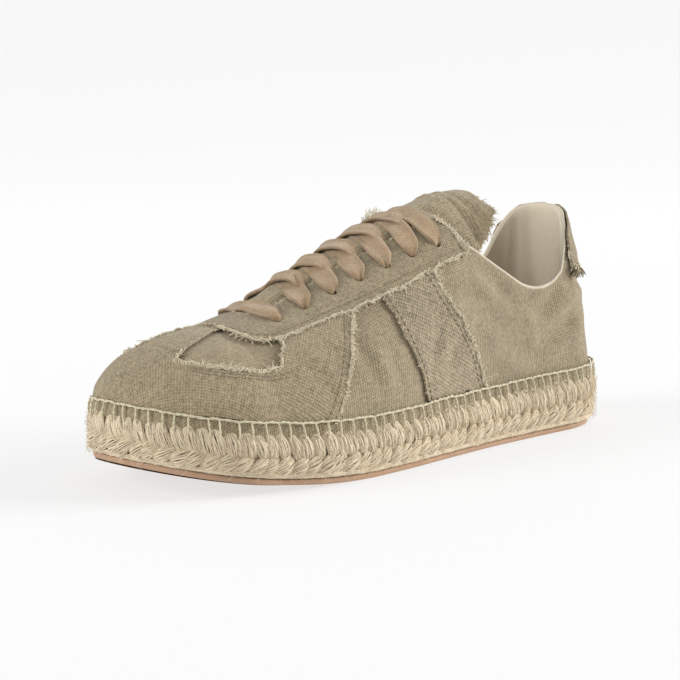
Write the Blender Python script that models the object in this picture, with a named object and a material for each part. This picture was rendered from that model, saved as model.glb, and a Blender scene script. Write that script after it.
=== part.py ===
"""Low-top espadrille trainer for the left foot: a raw-edged canvas upper on a braided jute sole.

The shoe is laid out in millimetres: the station runs from the back of the heel to the toe, y is
positive on the outer (lateral) side, and heights are taken from the floor.  Every piece comes from
one shoe form.  A place on that form is given by its side, its walk and its climb:
  side   +1 lateral, -1 medial
  walk   the way round the outline, equal to the station between the two end arcs and running on
         round the heel (below HEEL_CORE) and round the toe (above TOE_CORE)
  climb  0 at the line of the sole stitch, 1 at the crown over the middle of the foot
"""
import math

import bmesh
import bpy
from mathutils import Vector

MM = 0.001

# ---- outline -------------------------------------------------------------------------------
LENGTH = 270.0
HEEL_CORE = 36.0            # station of the centre of the heel's round end
TOE_CORE = 222.0            # station of the centre of the toe's round end
HEEL_ARC = 57.0             # walk round a quarter of the heel
TOE_ARC = 76.0              # walk round a quarter of the toe
HEEL_SQUARENESS = 2.25
TOE_SQUARENESS = 2.15
TOE_TIP_SHIFT = -5.0        # the tip lies towards the big toe
HEEL_WALK = HEEL_CORE - HEEL_ARC
TOE_WALK = TOE_CORE + TOE_ARC

# station, lateral half width, medial half width of the jute sole
PLAN = (
    (36.0, 35.5, 34.5),
    (60.0, 36.3, 34.0),
    (90.0, 38.0, 32.5),
    (120.0, 41.3, 32.5),
    (150.0, 45.3, 37.0),
    (175.0, 47.3, 43.0),
    (200.0, 47.0, 47.5),
    (222.0, 42.8, 48.8),
)

# ---- heights -------------------------------------------------------------------------------
SPRING_START = 170.0        # the sole is flat on the floor behind this station
TOE_SPRING = 11.5
STITCH_HEEL, STITCH_TOE = 28.5, 24.5    # sole stitch above the bottom of the sole
OUTSOLE_THICK = 2.5
GAP = 0.3                   # between pieces that touch
STRIP_HEIGHT = 8.0          # canvas hanging below the sole stitch, outside the jute
PLATEAU_DROP = 3.5          # top of the jute below the sole stitch
INSOLE_THICK = 2.5

# walk, height of the crown, roundness of the section (2 is an ellipse, less leans inwards)
SECTIONS = (
    (-21.0, 147.0, 1.35),
    (36.0, 147.0, 1.35),
    (60.0, 140.0, 1.38),
    (78.0, 126.0, 1.6),
    (96.0, 110.0, 1.95),
    (113.0, 101.0, 2.3),
    (140.0, 90.5, 2.15),
    (170.0, 78.0, 2.05),
    (198.0, 67.5, 1.92),
    (222.0, 61.5, 1.75),
)

# walk, height of the collar's edge
COLLAR = (
    (-21.0, 100.0),
    (-8.0, 99.6),
    (4.0, 98.2),
    (13.0, 95.2),
    (19.0, 91.2),
    (23.0, 87.2),
    (26.5, 82.8),
    (29.5, 78.6),
    (32.5, 75.0),
    (36.6, 71.5),
    (44.0, 67.5),
    (54.0, 66.3),
    (64.5, 68.7),
    (75.0, 74.2),
    (87.6, 82.6),
    (97.0, 88.8),
)

# station, then girths over the canvas from the crown line to the facing's outer edge, to its
# eyelets and to its inner edge
FACING = (
    (97.0, 35.7, 27.6, 16.3),
    (115.0, 34.9, 25.7, 13.6),
    (145.0, 33.8, 22.3, 11.2),
    (175.0, 30.4, 19.0, 8.7),
    (200.5, 27.0, 16.6, 6.0),
    (203.0, 26.3, 16.3, 5.5),
)
CORNER_WALK = 97.0          # the collar ends here, at the outer corner of the facing
THROAT_TOP_WALK = 105.0     # the facing's inner edge starts here
THROAT_ROUND_WALK = 203.0   # the throat's round front end begins here
THROAT_FRONT_WALK = 206.5

# walks of the upper's sections, the same on both sides
UPPER_WALKS = (-21, -12, -3, 5, 12, 18, 23, 28, 33, 39, 47, 57, 68, 78, 88, 97, 101, 105, 114, 125,
               137, 149, 161, 173, 185, 197, 203, 205.6, 206.5, 214, 222, 232.5, 243, 253.5, 264,
               274, 283, 290.5, 298)
UPPER_ROWS = 7              # rows of faces up the canvas wall
UPPER_WALL = 2.2


def smooth(rows, x, column=1):
    """Height at x of a smooth curve through the rows, held level beyond both ends."""
    if x <= rows[0][0]:
        return rows[0][column]
    if x >= rows[-1][0]:
        return rows[-1][column]
    i = next(k for k in range(len(rows) - 1) if x <= rows[k + 1][0])

    def slope(k):
        a, b = max(k - 1, 0), min(k + 1, len(rows) - 1)
        return (rows[b][column] - rows[a][column]) / (rows[b][0] - rows[a][0])

    run = rows[i + 1][0] - rows[i][0]
    t = (x - rows[i][0]) / run
    return ((2 * t**3 - 3 * t**2 + 1) * rows[i][column] + (t**3 - 2 * t**2 + t) * run * slope(i)
            + (3 * t**2 - 2 * t**3) * rows[i + 1][column] + (t**3 - t**2) * run * slope(i + 1))


def blend(a, b, t):
    """Value at the share t of the way from a to b."""
    return a + (b - a) * t


def superellipse(angle, along, across, squareness):
    """Distance from the centre to a rounded end's outline, in the direction of the angle."""
    return (abs(math.cos(angle) / along) ** squareness
            + abs(math.sin(angle) / across) ** squareness) ** (-1 / squareness)


def core_y(station):
    """The line that the sections' crowns follow: straight at the heel, bending with the toe."""
    t = (station - HEEL_CORE) / (TOE_CORE - HEEL_CORE)
    heel = (PLAN[0][1] - PLAN[0][2]) / 2
    toe = (PLAN[-1][1] - PLAN[-1][2]) / 2
    return blend(heel, toe, t)


def column(side, walk):
    """Core point and rim point, as (station, y), of the section at a walk."""
    if walk < HEEL_CORE:
        angle = math.pi / 2 * (walk - HEEL_WALK) / HEEL_ARC
        centre = Vector((HEEL_CORE, core_y(HEEL_CORE)))
        half = PLAN[0][1] - centre.y if side > 0 else PLAN[0][2] + centre.y
        r = superellipse(angle, HEEL_CORE, half, HEEL_SQUARENESS)
        return centre, centre + Vector((-r * math.cos(angle), side * r * math.sin(angle)))
    if walk > TOE_CORE:
        angle = math.pi / 2 * (TOE_WALK - walk) / TOE_ARC
        centre = Vector((TOE_CORE, core_y(TOE_CORE)))
        half = PLAN[-1][1] - centre.y if side > 0 else PLAN[-1][2] + centre.y
        reach = LENGTH - TOE_CORE
        r = superellipse(angle, reach, half, TOE_SQUARENESS)
        ahead = r * math.cos(angle)
        shift = TOE_TIP_SHIFT * (ahead / reach) ** 2
        return centre, centre + Vector((ahead, side * r * math.sin(angle) + shift))
    half = smooth(PLAN, walk, 1 if side > 0 else 2)
    return Vector((walk, core_y(walk))), Vector((walk, side * half))


def ground(station):
    """Height of the sole's bottom above the floor."""
    t = max(0.0, (station - SPRING_START) / (LENGTH - SPRING_START))
    return TOE_SPRING * t * t


def stitch_height(station):
    """Height of the sole stitch above the floor."""
    return ground(station) + blend(STITCH_HEEL, STITCH_TOE, station / LENGTH)


def toward_heel(station):
    """1 at the back of the heel, fading to 0 at the heel's core."""
    return max(0.0, 1.0 - station / HEEL_CORE)


def sole_point(side, walk, inset, height):
    """Point of the sole: inset from the rim, height above the sole's bottom."""
    core, rim = column(side, walk)
    reach = (rim - core).length
    place = core + (rim - core) * (reach - inset) / reach
    return Vector((place.x, place.y, ground(rim.x) + height))


# ---- the shoe form ---------------------------------------------------------------------------
GIRTH_STEPS = 60
GIRTHS = {}
STRIP_INSET = 1.6           # strip's outer face inside the jute's rim, at its lower edge
STITCH_INSET = 2.2          # and at the sole stitch
HEEL_EXTRA_INSET = 1.0
WALL_STEP = 1.5             # the wall rises this far inside the stitch


def wall_foot(rim):
    """Inset at which the canvas wall starts to climb, above the sole stitch."""
    return STITCH_INSET + WALL_STEP + HEEL_EXTRA_INSET * toward_heel(rim.x)


def form(side, walk, climb):
    """Outer face of the canvas."""
    core, rim = column(side, walk)
    reach = (rim - core).length
    span = reach - wall_foot(rim)
    foot = stitch_height(rim.x)
    crown = smooth(SECTIONS, walk, 1)
    power = 2 / smooth(SECTIONS, walk, 2)
    angle = math.pi / 2 * climb
    out = max(0.0, math.cos(angle)) ** power
    up = math.sin(angle) ** power
    place = core + (rim - core) * (span * out / reach)
    return Vector((place.x, place.y, foot + (crown - foot) * up))


def climb_at_height(side, walk, height):
    """Climb at which the form reaches a height above the floor."""
    core, rim = column(side, walk)
    foot = stitch_height(rim.x)
    up = (height - foot) / (smooth(SECTIONS, walk, 1) - foot)
    return math.asin(up ** (smooth(SECTIONS, walk, 2) / 2)) * 2 / math.pi


def climb_at_distance(side, walk, distance):
    """Climb at which the form is this far, sideways, from its crown."""
    core, rim = column(side, walk)
    span = (rim - core).length - wall_foot(rim)
    return math.acos(min(1.0, distance / span) ** (smooth(SECTIONS, walk, 2) / 2)) * 2 / math.pi


def section_girths(side, walk):
    """Girths from the crown down to evenly spaced climbs of a section."""
    if (side, walk) not in GIRTHS:
        total, girths = 0.0, [0.0]
        last = form(side, walk, 1.0)
        for k in range(1, GIRTH_STEPS + 1):
            place = form(side, walk, 1.0 - k / GIRTH_STEPS)
            total += (place - last).length
            girths.append(total)
            last = place
        GIRTHS[side, walk] = girths
    return GIRTHS[side, walk]


def climb_at_girth(side, walk, girth):
    """Climb at a girth over the canvas from the crown line."""
    girths = section_girths(side, walk)
    k = next((i for i in range(1, GIRTH_STEPS) if girths[i] >= girth), GIRTH_STEPS)
    t = (girth - girths[k - 1]) / (girths[k] - girths[k - 1])
    return max(0.0, 1.0 - (k - 1 + t) / GIRTH_STEPS)


def throat_half(walk):
    """Half width of the throat, closing in a round end at its front."""
    if walk <= THROAT_ROUND_WALK:
        return smooth(FACING, walk, 3)
    t = (walk - THROAT_ROUND_WALK) / (THROAT_FRONT_WALK - THROAT_ROUND_WALK)
    return smooth(FACING, THROAT_ROUND_WALK, 3) * math.sqrt(max(0.0, 1 - t * t))


def edge_climb(side, walk):
    """Climb of the upper's open edge: collar, then throat, then closed over the toes."""
    if walk >= THROAT_FRONT_WALK:
        return 1.0
    if walk <= CORNER_WALK:
        return climb_at_height(side, walk, smooth(COLLAR, walk))
    if walk >= THROAT_TOP_WALK:
        return climb_at_girth(side, walk, throat_half(walk))
    collar = climb_at_height(side, CORNER_WALK, smooth(COLLAR, CORNER_WALK))
    throat = climb_at_girth(side, THROAT_TOP_WALK, throat_half(THROAT_TOP_WALK))
    return blend(collar, throat, (walk - CORNER_WALK) / (THROAT_TOP_WALK - CORNER_WALK))


def arch_point(station, girth):
    """Point of the form by its station and its girth from the crown, positive on the outer side."""
    side = 1 if girth >= 0 else -1
    return form(side, station, climb_at_girth(side, station, abs(girth)))


def arch_normal(station, girth):
    """Normal of the canvas, pointing up and outwards."""
    along = arch_point(station + 1, girth) - arch_point(station - 1, girth)
    across = arch_point(station, girth + 1) - arch_point(station, girth - 1)
    return along.cross(across).normalized()


def loop_of(walks):
    """(side, walk) once round the shoe from the back of the heel, lateral side first."""
    lateral = [(1, w) for w in walks]
    medial = [(-1, w) for w in reversed(walks[1:-1])]
    return lateral + medial


# ---- mesh helpers ----------------------------------------------------------------------------
def new_object(name, mesh, colour, roughness):
    """An object under the shoe's empty, with its own material."""
    material = bpy.data.materials.new(name)
    material.use_nodes = True
    shader = material.node_tree.nodes["Principled BSDF"]
    shader.inputs["Base Color"].default_value = (*colour, 1.0)
    shader.inputs["Roughness"].default_value = roughness
    shader.inputs["Metallic"].default_value = 0.0
    mesh.materials.append(material)
    piece = bpy.data.objects.new(name, mesh)
    bpy.context.scene.collection.objects.link(piece)
    piece.parent = SHOE
    return piece


class Net:
    """Collects points in millimetres, sharing those that coincide, and faces between them."""

    def __init__(self):
        self.bm = bmesh.new()
        self.found = {}

    def point(self, place):
        key = tuple(round(c, 3) for c in place)
        if key not in self.found:
            self.found[key] = self.bm.verts.new(place * MM)
        return self.found[key]

    def face(self, *points):
        corners = []
        for p in points:
            if p not in corners:
                corners.append(p)
        if len(corners) > 2:
            self.bm.faces.new(corners)

    def band(self, lower, upper, closed=False):
        """Faces between two rows of points that run round the shoe, facing outwards."""
        count = len(lower) if closed else len(lower) - 1
        for j in range(count):
            n = (j + 1) % len(lower)
            self.face(lower[j], upper[j], upper[n], lower[n])

    def lift(self, distance):
        """Moves every point outwards along its normal."""
        self.bm.normal_update()
        moves = [(v, v.normal.copy()) for v in self.bm.verts]
        for v, normal in moves:
            v.co += normal * distance * MM

    def finish(self, name, colour, roughness=0.85, sharp_degrees=35):
        mesh = bpy.data.meshes.new(name)
        self.bm.normal_update()
        self.bm.to_mesh(mesh)
        self.bm.free()
        mesh.shade_smooth()
        mesh.set_sharp_from_angle(angle=math.radians(sharp_degrees))
        return new_object(name, mesh, colour, roughness)


def thicken(piece, thickness, outwards):
    """Gives an open sheet its thickness, on its outer or its inner side."""
    solid = piece.modifiers.new("wall", "SOLIDIFY")
    solid.thickness = thickness * MM
    solid.offset = 1.0 if outwards else -1.0
    solid.use_even_offset = False
    solid.use_rim = True


# ---- sole ------------------------------------------------------------------------------------
CANVAS = (0.36, 0.31, 0.22)
CANVAS_DARK = (0.33, 0.28, 0.20)
JUTE = (0.58, 0.47, 0.32)
TAN_RUBBER = (0.42, 0.26, 0.16)
LINING = (0.50, 0.45, 0.36)
LACE = (0.38, 0.28, 0.20)

OUTSOLE_COLUMNS = 64
OUTSOLE_INSET = 2.4
OUTSOLE_HEEL_INSET = 3.0

RIBS = 88                   # jute strands round the sole
RIB_DEPTH = 0.9
# share of the jute wall's height, inset from the rim, share of the rib's depth, lean of the strand
JUTE_WALL = (
    (0.00, 3.0, 0.0, 2.6),
    (0.12, 0.7, 0.8, 1.6),
    (0.32, 0.0, 1.0, -1.0),
    (0.50, 1.7, 0.2, 0.0),
    (0.68, 0.0, 1.0, -0.6),
    (0.90, 0.4, 0.9, 0.8),
    (1.00, 2.0, 0.3, 1.0),
)
PLATEAU_INSET = 4.7
INSOLE_COLUMNS = 56
INSOLE_INSET = 6.9


def even_loop(count):
    """(side, walk) of evenly spaced columns round the whole outline."""
    half = TOE_WALK - HEEL_WALK
    places = []
    for j in range(count):
        way = 2 * half * j / count
        places.append((1, HEEL_WALK + way) if way <= half else (-1, HEEL_WALK + 2 * half - way))
    return places


def shifted(place, lean):
    """The column a little further round the loop."""
    side, walk = place
    walk += side * lean
    if walk < HEEL_WALK:
        return -side, 2 * HEEL_WALK - walk
    if walk > TOE_WALK:
        return -side, 2 * TOE_WALK - walk
    return side, walk


def cap(net, ring, loop, height_of, upwards):
    """Closes a ring with faces to the core line."""
    cores = []
    for side, walk in loop:
        core, _ = column(side, walk)
        cores.append(net.point(Vector((core.x, core.y, height_of(core.x)))))
    if upwards:
        net.band(ring, cores, closed=True)
    else:
        net.band(cores, ring, closed=True)


def outsole():
    net = Net()
    loop = even_loop(OUTSOLE_COLUMNS)

    def ring(height):
        places = []
        for side, walk in loop:
            _, rim = column(side, walk)
            inset = OUTSOLE_INSET + OUTSOLE_HEEL_INSET * toward_heel(rim.x)
            places.append(net.point(sole_point(side, walk, inset, height)))
        return places

    bottom, top = ring(0.0), ring(OUTSOLE_THICK)
    net.band(bottom, top, closed=True)
    cap(net, bottom, loop, ground, upwards=False)
    cap(net, top, loop, lambda s: ground(s) + OUTSOLE_THICK, upwards=True)
    return net.finish("outsole", TAN_RUBBER, 0.7)


def jute_midsole():
    net = Net()
    loop = even_loop(2 * RIBS)
    bottom = OUTSOLE_THICK + GAP

    def ring(share, inset, rib, lean):
        places = []
        for j, place in enumerate(loop):
            side, walk = shifted(place, lean)
            _, rim = column(side, walk)
            stitch = stitch_height(rim.x) - ground(rim.x)
            ledge = stitch - STRIP_HEIGHT - GAP
            valley = RIB_DEPTH * rib * (j % 2)
            height = blend(bottom, ledge, share)
            places.append(net.point(sole_point(side, walk, inset + valley, height)))
        return places

    def upper_ring(drop):
        places = []
        for side, walk in loop:
            _, rim = column(side, walk)
            height = stitch_height(rim.x) - ground(rim.x) - drop
            inset = PLATEAU_INSET + HEEL_EXTRA_INSET * toward_heel(rim.x)
            places.append(net.point(sole_point(side, walk, inset, height)))
        return places

    rings = [ring(*row) for row in JUTE_WALL]
    rings.append(upper_ring(STRIP_HEIGHT + GAP))
    rings.append(upper_ring(PLATEAU_DROP))
    for lower, upper in zip(rings, rings[1:]):
        net.band(lower, upper, closed=True)
    cap(net, rings[0], loop, lambda s: ground(s) + bottom, upwards=False)
    cap(net, rings[-1], loop, lambda s: stitch_height(s) - PLATEAU_DROP, upwards=True)
    return net.finish("jute_midsole", JUTE, 0.95, 50)


def insole():
    net = Net()
    loop = even_loop(INSOLE_COLUMNS)
    base = GAP - PLATEAU_DROP

    def ring(rise):
        places = []
        for side, walk in loop:
            _, rim = column(side, walk)
            height = stitch_height(rim.x) - ground(rim.x) + base + rise
            inset = INSOLE_INSET + HEEL_EXTRA_INSET * toward_heel(rim.x)
            places.append(net.point(sole_point(side, walk, inset, height)))
        return places

    bottom, top = ring(0.0), ring(INSOLE_THICK)
    net.band(bottom, top, closed=True)
    cap(net, bottom, loop, lambda s: stitch_height(s) + base, upwards=False)
    cap(net, top, loop, lambda s: stitch_height(s) + base + INSOLE_THICK, upwards=True)
    return net.finish("insole", LINING, 0.9)


# ---- upper -----------------------------------------------------------------------------------
def strip_point(side, walk, inset, drop):
    """Point of the canvas strip, inset from the rim, at a drop below the sole stitch."""
    _, rim = column(side, walk)
    stitch = stitch_height(rim.x) - ground(rim.x)
    return sole_point(side, walk, inset + HEEL_EXTRA_INSET * toward_heel(rim.x), stitch - drop)


def upper():
    net = Net()
    loop = loop_of(UPPER_WALKS)
    rows = [[net.point(strip_point(s, w, STRIP_INSET, STRIP_HEIGHT)) for s, w in loop],
            [net.point(strip_point(s, w, STITCH_INSET, WALL_STEP)) for s, w in loop]]
    for k in range(UPPER_ROWS + 1):
        share = k / UPPER_ROWS
        rows.append([net.point(form(s, w, edge_climb(s, w) * share)) for s, w in loop])
    for lower, top in zip(rows, rows[1:]):
        net.band(lower, top, closed=True)
    piece = net.finish("upper", CANVAS)
    thicken(piece, UPPER_WALL, outwards=False)
    return piece


# ---- overlays --------------------------------------------------------------------------------
OVERLAY_BASE = 0.55         # an overlay's back above the canvas below it
OVERLAY_THICK = 0.9
OVERLAY_FOOT = 0.03         # climb at which overlays start, above the sole stitch
EDGE_GAP = 0.6              # between overlays that lie side by side

# climb, walk of the side panel's front edge, walk of its rear edge
SIDE_PANEL = (
    (0.00, 139.5, 98.0),
    (0.10, 142.0, 104.0),
    (0.20, 146.5, 111.0),
    (0.30, 149.5, 117.5),
    (0.45, 153.0, 122.5),
    (0.60, 156.0, 125.0),
)
PANEL_COLUMNS, PANEL_ROWS = 5, 7

# The toe overlay's columns lean back as they climb, as its seams do
SEAM_LEAN = 47.0
SEAM_FOOT = 197.5           # walk of the quarter seam at the sole stitch
WINDOW_REAR = 234.5         # walk of the window's rear edge, carried down to the sole stitch
WINDOW_FRONT = 275.0        # walk of the window's front edge
GUARD_ROWS, WING_ROWS, BRIDGE_ROWS = 6, 3, 4
WINDOW_CLIMBS = (0.40, 0.465)           # its lower edge at the rear and at the front
BRIDGE_HALF, BRIDGE_FLARE = 5.6, 0.27   # strip over the middle of the toe, widening forwards
BRIDGE_HALF_MAX = 26.0
WING_WALKS = (SEAM_FOOT, 206.0, 215.0, 225.0, WINDOW_REAR)
WINDOW_WALKS = (WINDOW_REAR, 243.0, 251.0, 259.0, 267.0, WINDOW_FRONT)
BRIDGE_WALKS = (TOE_CORE, 236.0, 250.0, 263.0, WINDOW_FRONT)
FRONT_WALKS = (WINDOW_FRONT, 283.0, 290.5, TOE_WALK)

FACING_FRONT = 18.6         # facing's reach in front of the throat's round end
FACING_SQUARENESS = 2.2
FACING_TOP_OUTER, FACING_TOP_INNER = 99.5, 107.5
FACING_STATIONS = (114.0, 124.0, 134.0, 145.0, 156.0, 167.0, 178.0, 189.0, 197.0)
FACING_FAN = 5
FACING_ROWS = 3

PATCH_FOOT_HEIGHT = 73.5
PATCH_WALK = 24.0
PATCH_ROWS = 3
PATCH_EDGE = 1.2            # below the collar's edge


def overlay(net, name, colour=CANVAS_DARK):
    """Finishes a net drawn on the form as a separate layer that lies over the canvas."""
    net.lift(OVERLAY_BASE)
    piece = net.finish(name, colour)
    thicken(piece, OVERLAY_THICK, outwards=True)
    return piece


def facing_edge_climb(side, walk):
    """Climb just below the facing's outer edge, where other overlays stop."""
    return climb_at_girth(side, walk, smooth(FACING, walk, 1) + EDGE_GAP)


def side_panel(name, side):
    net = Net()
    columns, rows = PANEL_COLUMNS, PANEL_ROWS
    grid = []
    for k in range(rows + 1):
        row = []
        for j in range(columns + 1):
            across = j / columns
            climb = OVERLAY_FOOT
            for _ in range(3):
                walk = blend(smooth(SIDE_PANEL, climb, 2), smooth(SIDE_PANEL, climb, 1), across)
                climb = blend(OVERLAY_FOOT, facing_edge_climb(side, walk), k / rows)
            row.append(net.point(form(side, walk, climb)))
        grid.append(row if side > 0 else row[::-1])
    for lower, top in zip(grid, grid[1:]):
        net.band(lower, top)
    return overlay(net, name)


def leaning_walk(foot_walk, climb):
    """Walk that a leaning column has reached at a climb."""
    lean = SEAM_LEAN * min(1.0, (WINDOW_FRONT - foot_walk) / (WINDOW_FRONT - WINDOW_REAR))
    return foot_walk - max(0.0, lean) * climb


def bridge_climb(side, walk):
    """Climb of the side edge of the strip over the toe."""
    angle = math.pi / 2 * (TOE_WALK - walk) / TOE_ARC
    opening = math.sin(angle) - BRIDGE_FLARE * math.cos(angle)
    distance = BRIDGE_HALF / opening if opening > 0 else BRIDGE_HALF_MAX
    return climb_at_distance(side, walk, min(distance, BRIDGE_HALF_MAX))


def join_columns(net, side, columns):
    """Faces between columns of points that follow each other towards the toe."""
    for a, b in zip(columns, columns[1:]):
        for k in range(len(a) - 1):
            corners = (a[k], a[k + 1], b[k + 1], b[k])
            net.face(*(corners if side > 0 else corners[::-1]))


def guard_climb(foot_walk):
    """Upper edge of the toe guard, and the window's lower edge."""
    t = (foot_walk - WINDOW_REAR) / (WINDOW_FRONT - WINDOW_REAR)
    return blend(*WINDOW_CLIMBS, min(1.0, max(0.0, t)))


def wing_climb(side, foot_walk):
    """Where a leaning column of the wing meets the facing."""
    climb = WINDOW_CLIMBS[0]
    for _ in range(4):
        climb = facing_edge_climb(side, leaning_walk(foot_walk, climb))
    return climb


def toe_overlay():
    net = Net()
    for side in (1, -1):

        def leaning_column(foot_walk, low, high, rows):
            climbs = [blend(low, high, k / rows) for k in range(rows + 1)]
            return [net.point(form(side, leaning_walk(foot_walk, c), c)) for c in climbs]

        def bridge_column(walk):
            foot = bridge_climb(side, walk)
            climbs = [blend(foot, 1.0, k / BRIDGE_ROWS) for k in range(BRIDGE_ROWS + 1)]
            return [net.point(form(side, walk, c)) for c in climbs]

        guard = [leaning_column(w, OVERLAY_FOOT, guard_climb(w), GUARD_ROWS)
                 for w in WING_WALKS + WINDOW_WALKS[1:] + FRONT_WALKS[1:]]
        wing = [leaning_column(w, guard_climb(w), wing_climb(side, w), WING_ROWS)
                for w in WING_WALKS]
        bridge = [bridge_column(w) for w in BRIDGE_WALKS + FRONT_WALKS[1:]]
        count = len(FRONT_WALKS)
        between = [[g[-1], b[0]] for g, b in zip(guard[-count:], bridge[-count:])]
        for columns in (guard, wing, bridge, between):
            join_columns(net, side, columns)
    return overlay(net, "toe_overlay")


def eyestay():
    """Both lace facings and the round front that joins them, as one piece."""
    net = Net()

    def strip(outer, inner):
        """Points from the outer to the inner edge, each edge given as (station, girth)."""
        shares = [k / FACING_ROWS for k in range(FACING_ROWS + 1)]
        return [net.point(arch_point(blend(outer[0], inner[0], t), blend(outer[1], inner[1], t)))
                for t in shares]

    def straight(side, station_outer, station_inner):
        return strip((station_outer, side * smooth(FACING, station_outer, 1)),
                     (station_inner, side * (smooth(FACING, station_inner, 3) + EDGE_GAP)))

    def front(angle):
        """Column of the round front, at an angle from straight ahead."""
        outer_half = smooth(FACING, THROAT_ROUND_WALK, 1)
        inner_half = smooth(FACING, THROAT_ROUND_WALK, 3) + EDGE_GAP
        inner_reach = THROAT_FRONT_WALK - THROAT_ROUND_WALK + EDGE_GAP
        r = superellipse(angle, FACING_FRONT, outer_half, FACING_SQUARENESS)
        return strip((THROAT_ROUND_WALK + r * math.cos(angle), r * math.sin(angle)),
                     (THROAT_ROUND_WALK + inner_reach * math.cos(angle),
                      inner_half * math.sin(angle)))

    lateral = [straight(1, FACING_TOP_OUTER, FACING_TOP_INNER)]
    lateral += [straight(1, s, s) for s in FACING_STATIONS]
    medial = [straight(-1, s, s) for s in reversed(FACING_STATIONS)]
    medial.append(straight(-1, FACING_TOP_OUTER, FACING_TOP_INNER))
    turns = [math.pi / 2 * (1 - j / FACING_FAN) for j in range(2 * FACING_FAN + 1)]
    columns = lateral + [front(angle) for angle in turns] + medial
    join_columns(net, 1, columns)
    return overlay(net, "eyestay")


def heel_patch():
    net = Net()
    walks = [w for w in UPPER_WALKS if w < PATCH_WALK] + [PATCH_WALK]
    loop = [(-1, w) for w in reversed(walks[1:])] + [(1, w) for w in walks]
    rows = []
    for k in range(PATCH_ROWS + 1):
        row = []
        for side, walk in loop:
            top = smooth(COLLAR, walk) - PATCH_EDGE
            climb = climb_at_height(side, walk, blend(PATCH_FOOT_HEIGHT, top, k / PATCH_ROWS))
            row.append(net.point(form(side, walk, climb)))
        rows.append(row)
    for lower, top in zip(rows, rows[1:]):
        net.band(lower, top)
    return overlay(net, "heel_patch")


# ---- tongue ----------------------------------------------------------------------------------
TONGUE_THICK = 2.4
TONGUE_GAP = 1.3            # below the canvas of the facings
TONGUE_STATIONS = (214.0, 203.0, 190.0, 177.0, 164.0, 151.0, 138.0, 125.0, 113.0, 104.0, 97.0)
TONGUE_COLUMNS = 10
# station, half width of the tongue along its arch
TONGUE_HALF = (
    (77.0, 27.0),
    (82.0, 34.5),
    (89.0, 38.0),
    (97.0, 38.5),
    (104.0, 38.5),
    (120.0, 37.0),
    (144.0, 30.0),
    (180.0, 24.0),
    (214.0, 22.0),
)
# Above the facings: station, rise of its middle over the last station, share of the arch kept,
# sideways tilt
TONGUE_TOP = (
    (89.0, 2.0, 0.93, -0.05),
    (82.0, 3.0, 0.56, -0.06),
    (77.0, 3.0, 0.33, -0.06),
)


def tongue_girths(station):
    half = smooth(TONGUE_HALF, station)
    return [half * (2 * j / TONGUE_COLUMNS - 1) for j in range(TONGUE_COLUMNS + 1)]


def tongue():
    net = Net()
    sections = [[arch_point(s, g) for g in tongue_girths(s)] for s in TONGUE_STATIONS]
    last = TONGUE_STATIONS[-1]
    middle = arch_point(last, 0.0)
    for station, rise, arch, tilt in TONGUE_TOP:
        section = []
        for girth in tongue_girths(station):
            p = arch_point(last, girth)
            z = middle.z + rise + (p.z - middle.z) * arch + tilt * (p.y - middle.y)
            section.append(Vector((station, p.y, z)))
        sections.append(section)
    rows = [[net.point(p) for p in section] for section in sections]
    for a, b in zip(rows, rows[1:]):
        for j in range(TONGUE_COLUMNS):
            net.face(a[j], a[j + 1], b[j + 1], b[j])
    net.lift(-UPPER_WALL - TONGUE_GAP)
    piece = net.finish("tongue", CANVAS)
    thicken(piece, TONGUE_THICK, outwards=False)
    return piece


# ---- laces -----------------------------------------------------------------------------------
LACE_WIDTH = 7.2
LACE_THICK = 1.3
LACE_PAIRS = 7
LACE_FRONT, LACE_BACK = 200.5, 115.0    # stations of the first and last pair of eyelets
LACE_STEPS = 8
LACE_OVER = OVERLAY_BASE + OVERLAY_THICK + GAP + LACE_THICK / 2     # middle above the canvas
LACE_UNDER = -2.2           # where a crossing dips beside the opposite facing
LACE_DIP_START = 0.4        # share of the way at which it starts to dip
LACE_END_GAP = 3.4          # it stops this far from the facing's inner edge
LACE_SAG = 1.0              # a tight ribbon runs this far inside the arch at the last pair
SAG_MARGIN = 1.4            # it starts to run inside this far from the facing's inner edge
EYELET_RADIUS = 2.1
EYELET_SIDES = 6
EYELET_CUT = 5.0


def eyelet_station(pair):
    return blend(LACE_FRONT, LACE_BACK, pair / (LACE_PAIRS - 1))


def eyelet_girth(pair):
    return smooth(FACING, eyelet_station(pair), 2)


def ribbon(net, route):
    """A flat ribbon along (station, girth, lift above the canvas) points."""
    centres = [arch_point(s, g) + arch_normal(s, g) * lift for s, g, lift in route]
    rings = []
    for i, (station, girth, _) in enumerate(route):
        along = centres[min(i + 1, len(route) - 1)] - centres[max(i - 1, 0)]
        normal = arch_normal(station, girth)
        across = along.cross(normal).normalized() * LACE_WIDTH / 2
        thick = across.cross(along).normalized() * LACE_THICK / 2
        rings.append([net.point(centres[i] + a * across + b * thick)
                      for a, b in ((-1, -1), (1, -1), (1, 1), (-1, 1))])
    net.face(*rings[0])
    net.face(*reversed(rings[-1]))
    for a, b in zip(rings, rings[1:]):
        net.band(a, b, closed=True)


def sag(station, girth):
    """How far a tight ribbon runs inside the arch between the facings' inner edges."""
    half = throat_half(station + LACE_WIDTH / 2) - SAG_MARGIN
    return LACE_SAG * max(0.0, half * half - girth * girth) / smooth(FACING, LACE_BACK, 3) ** 2


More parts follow.
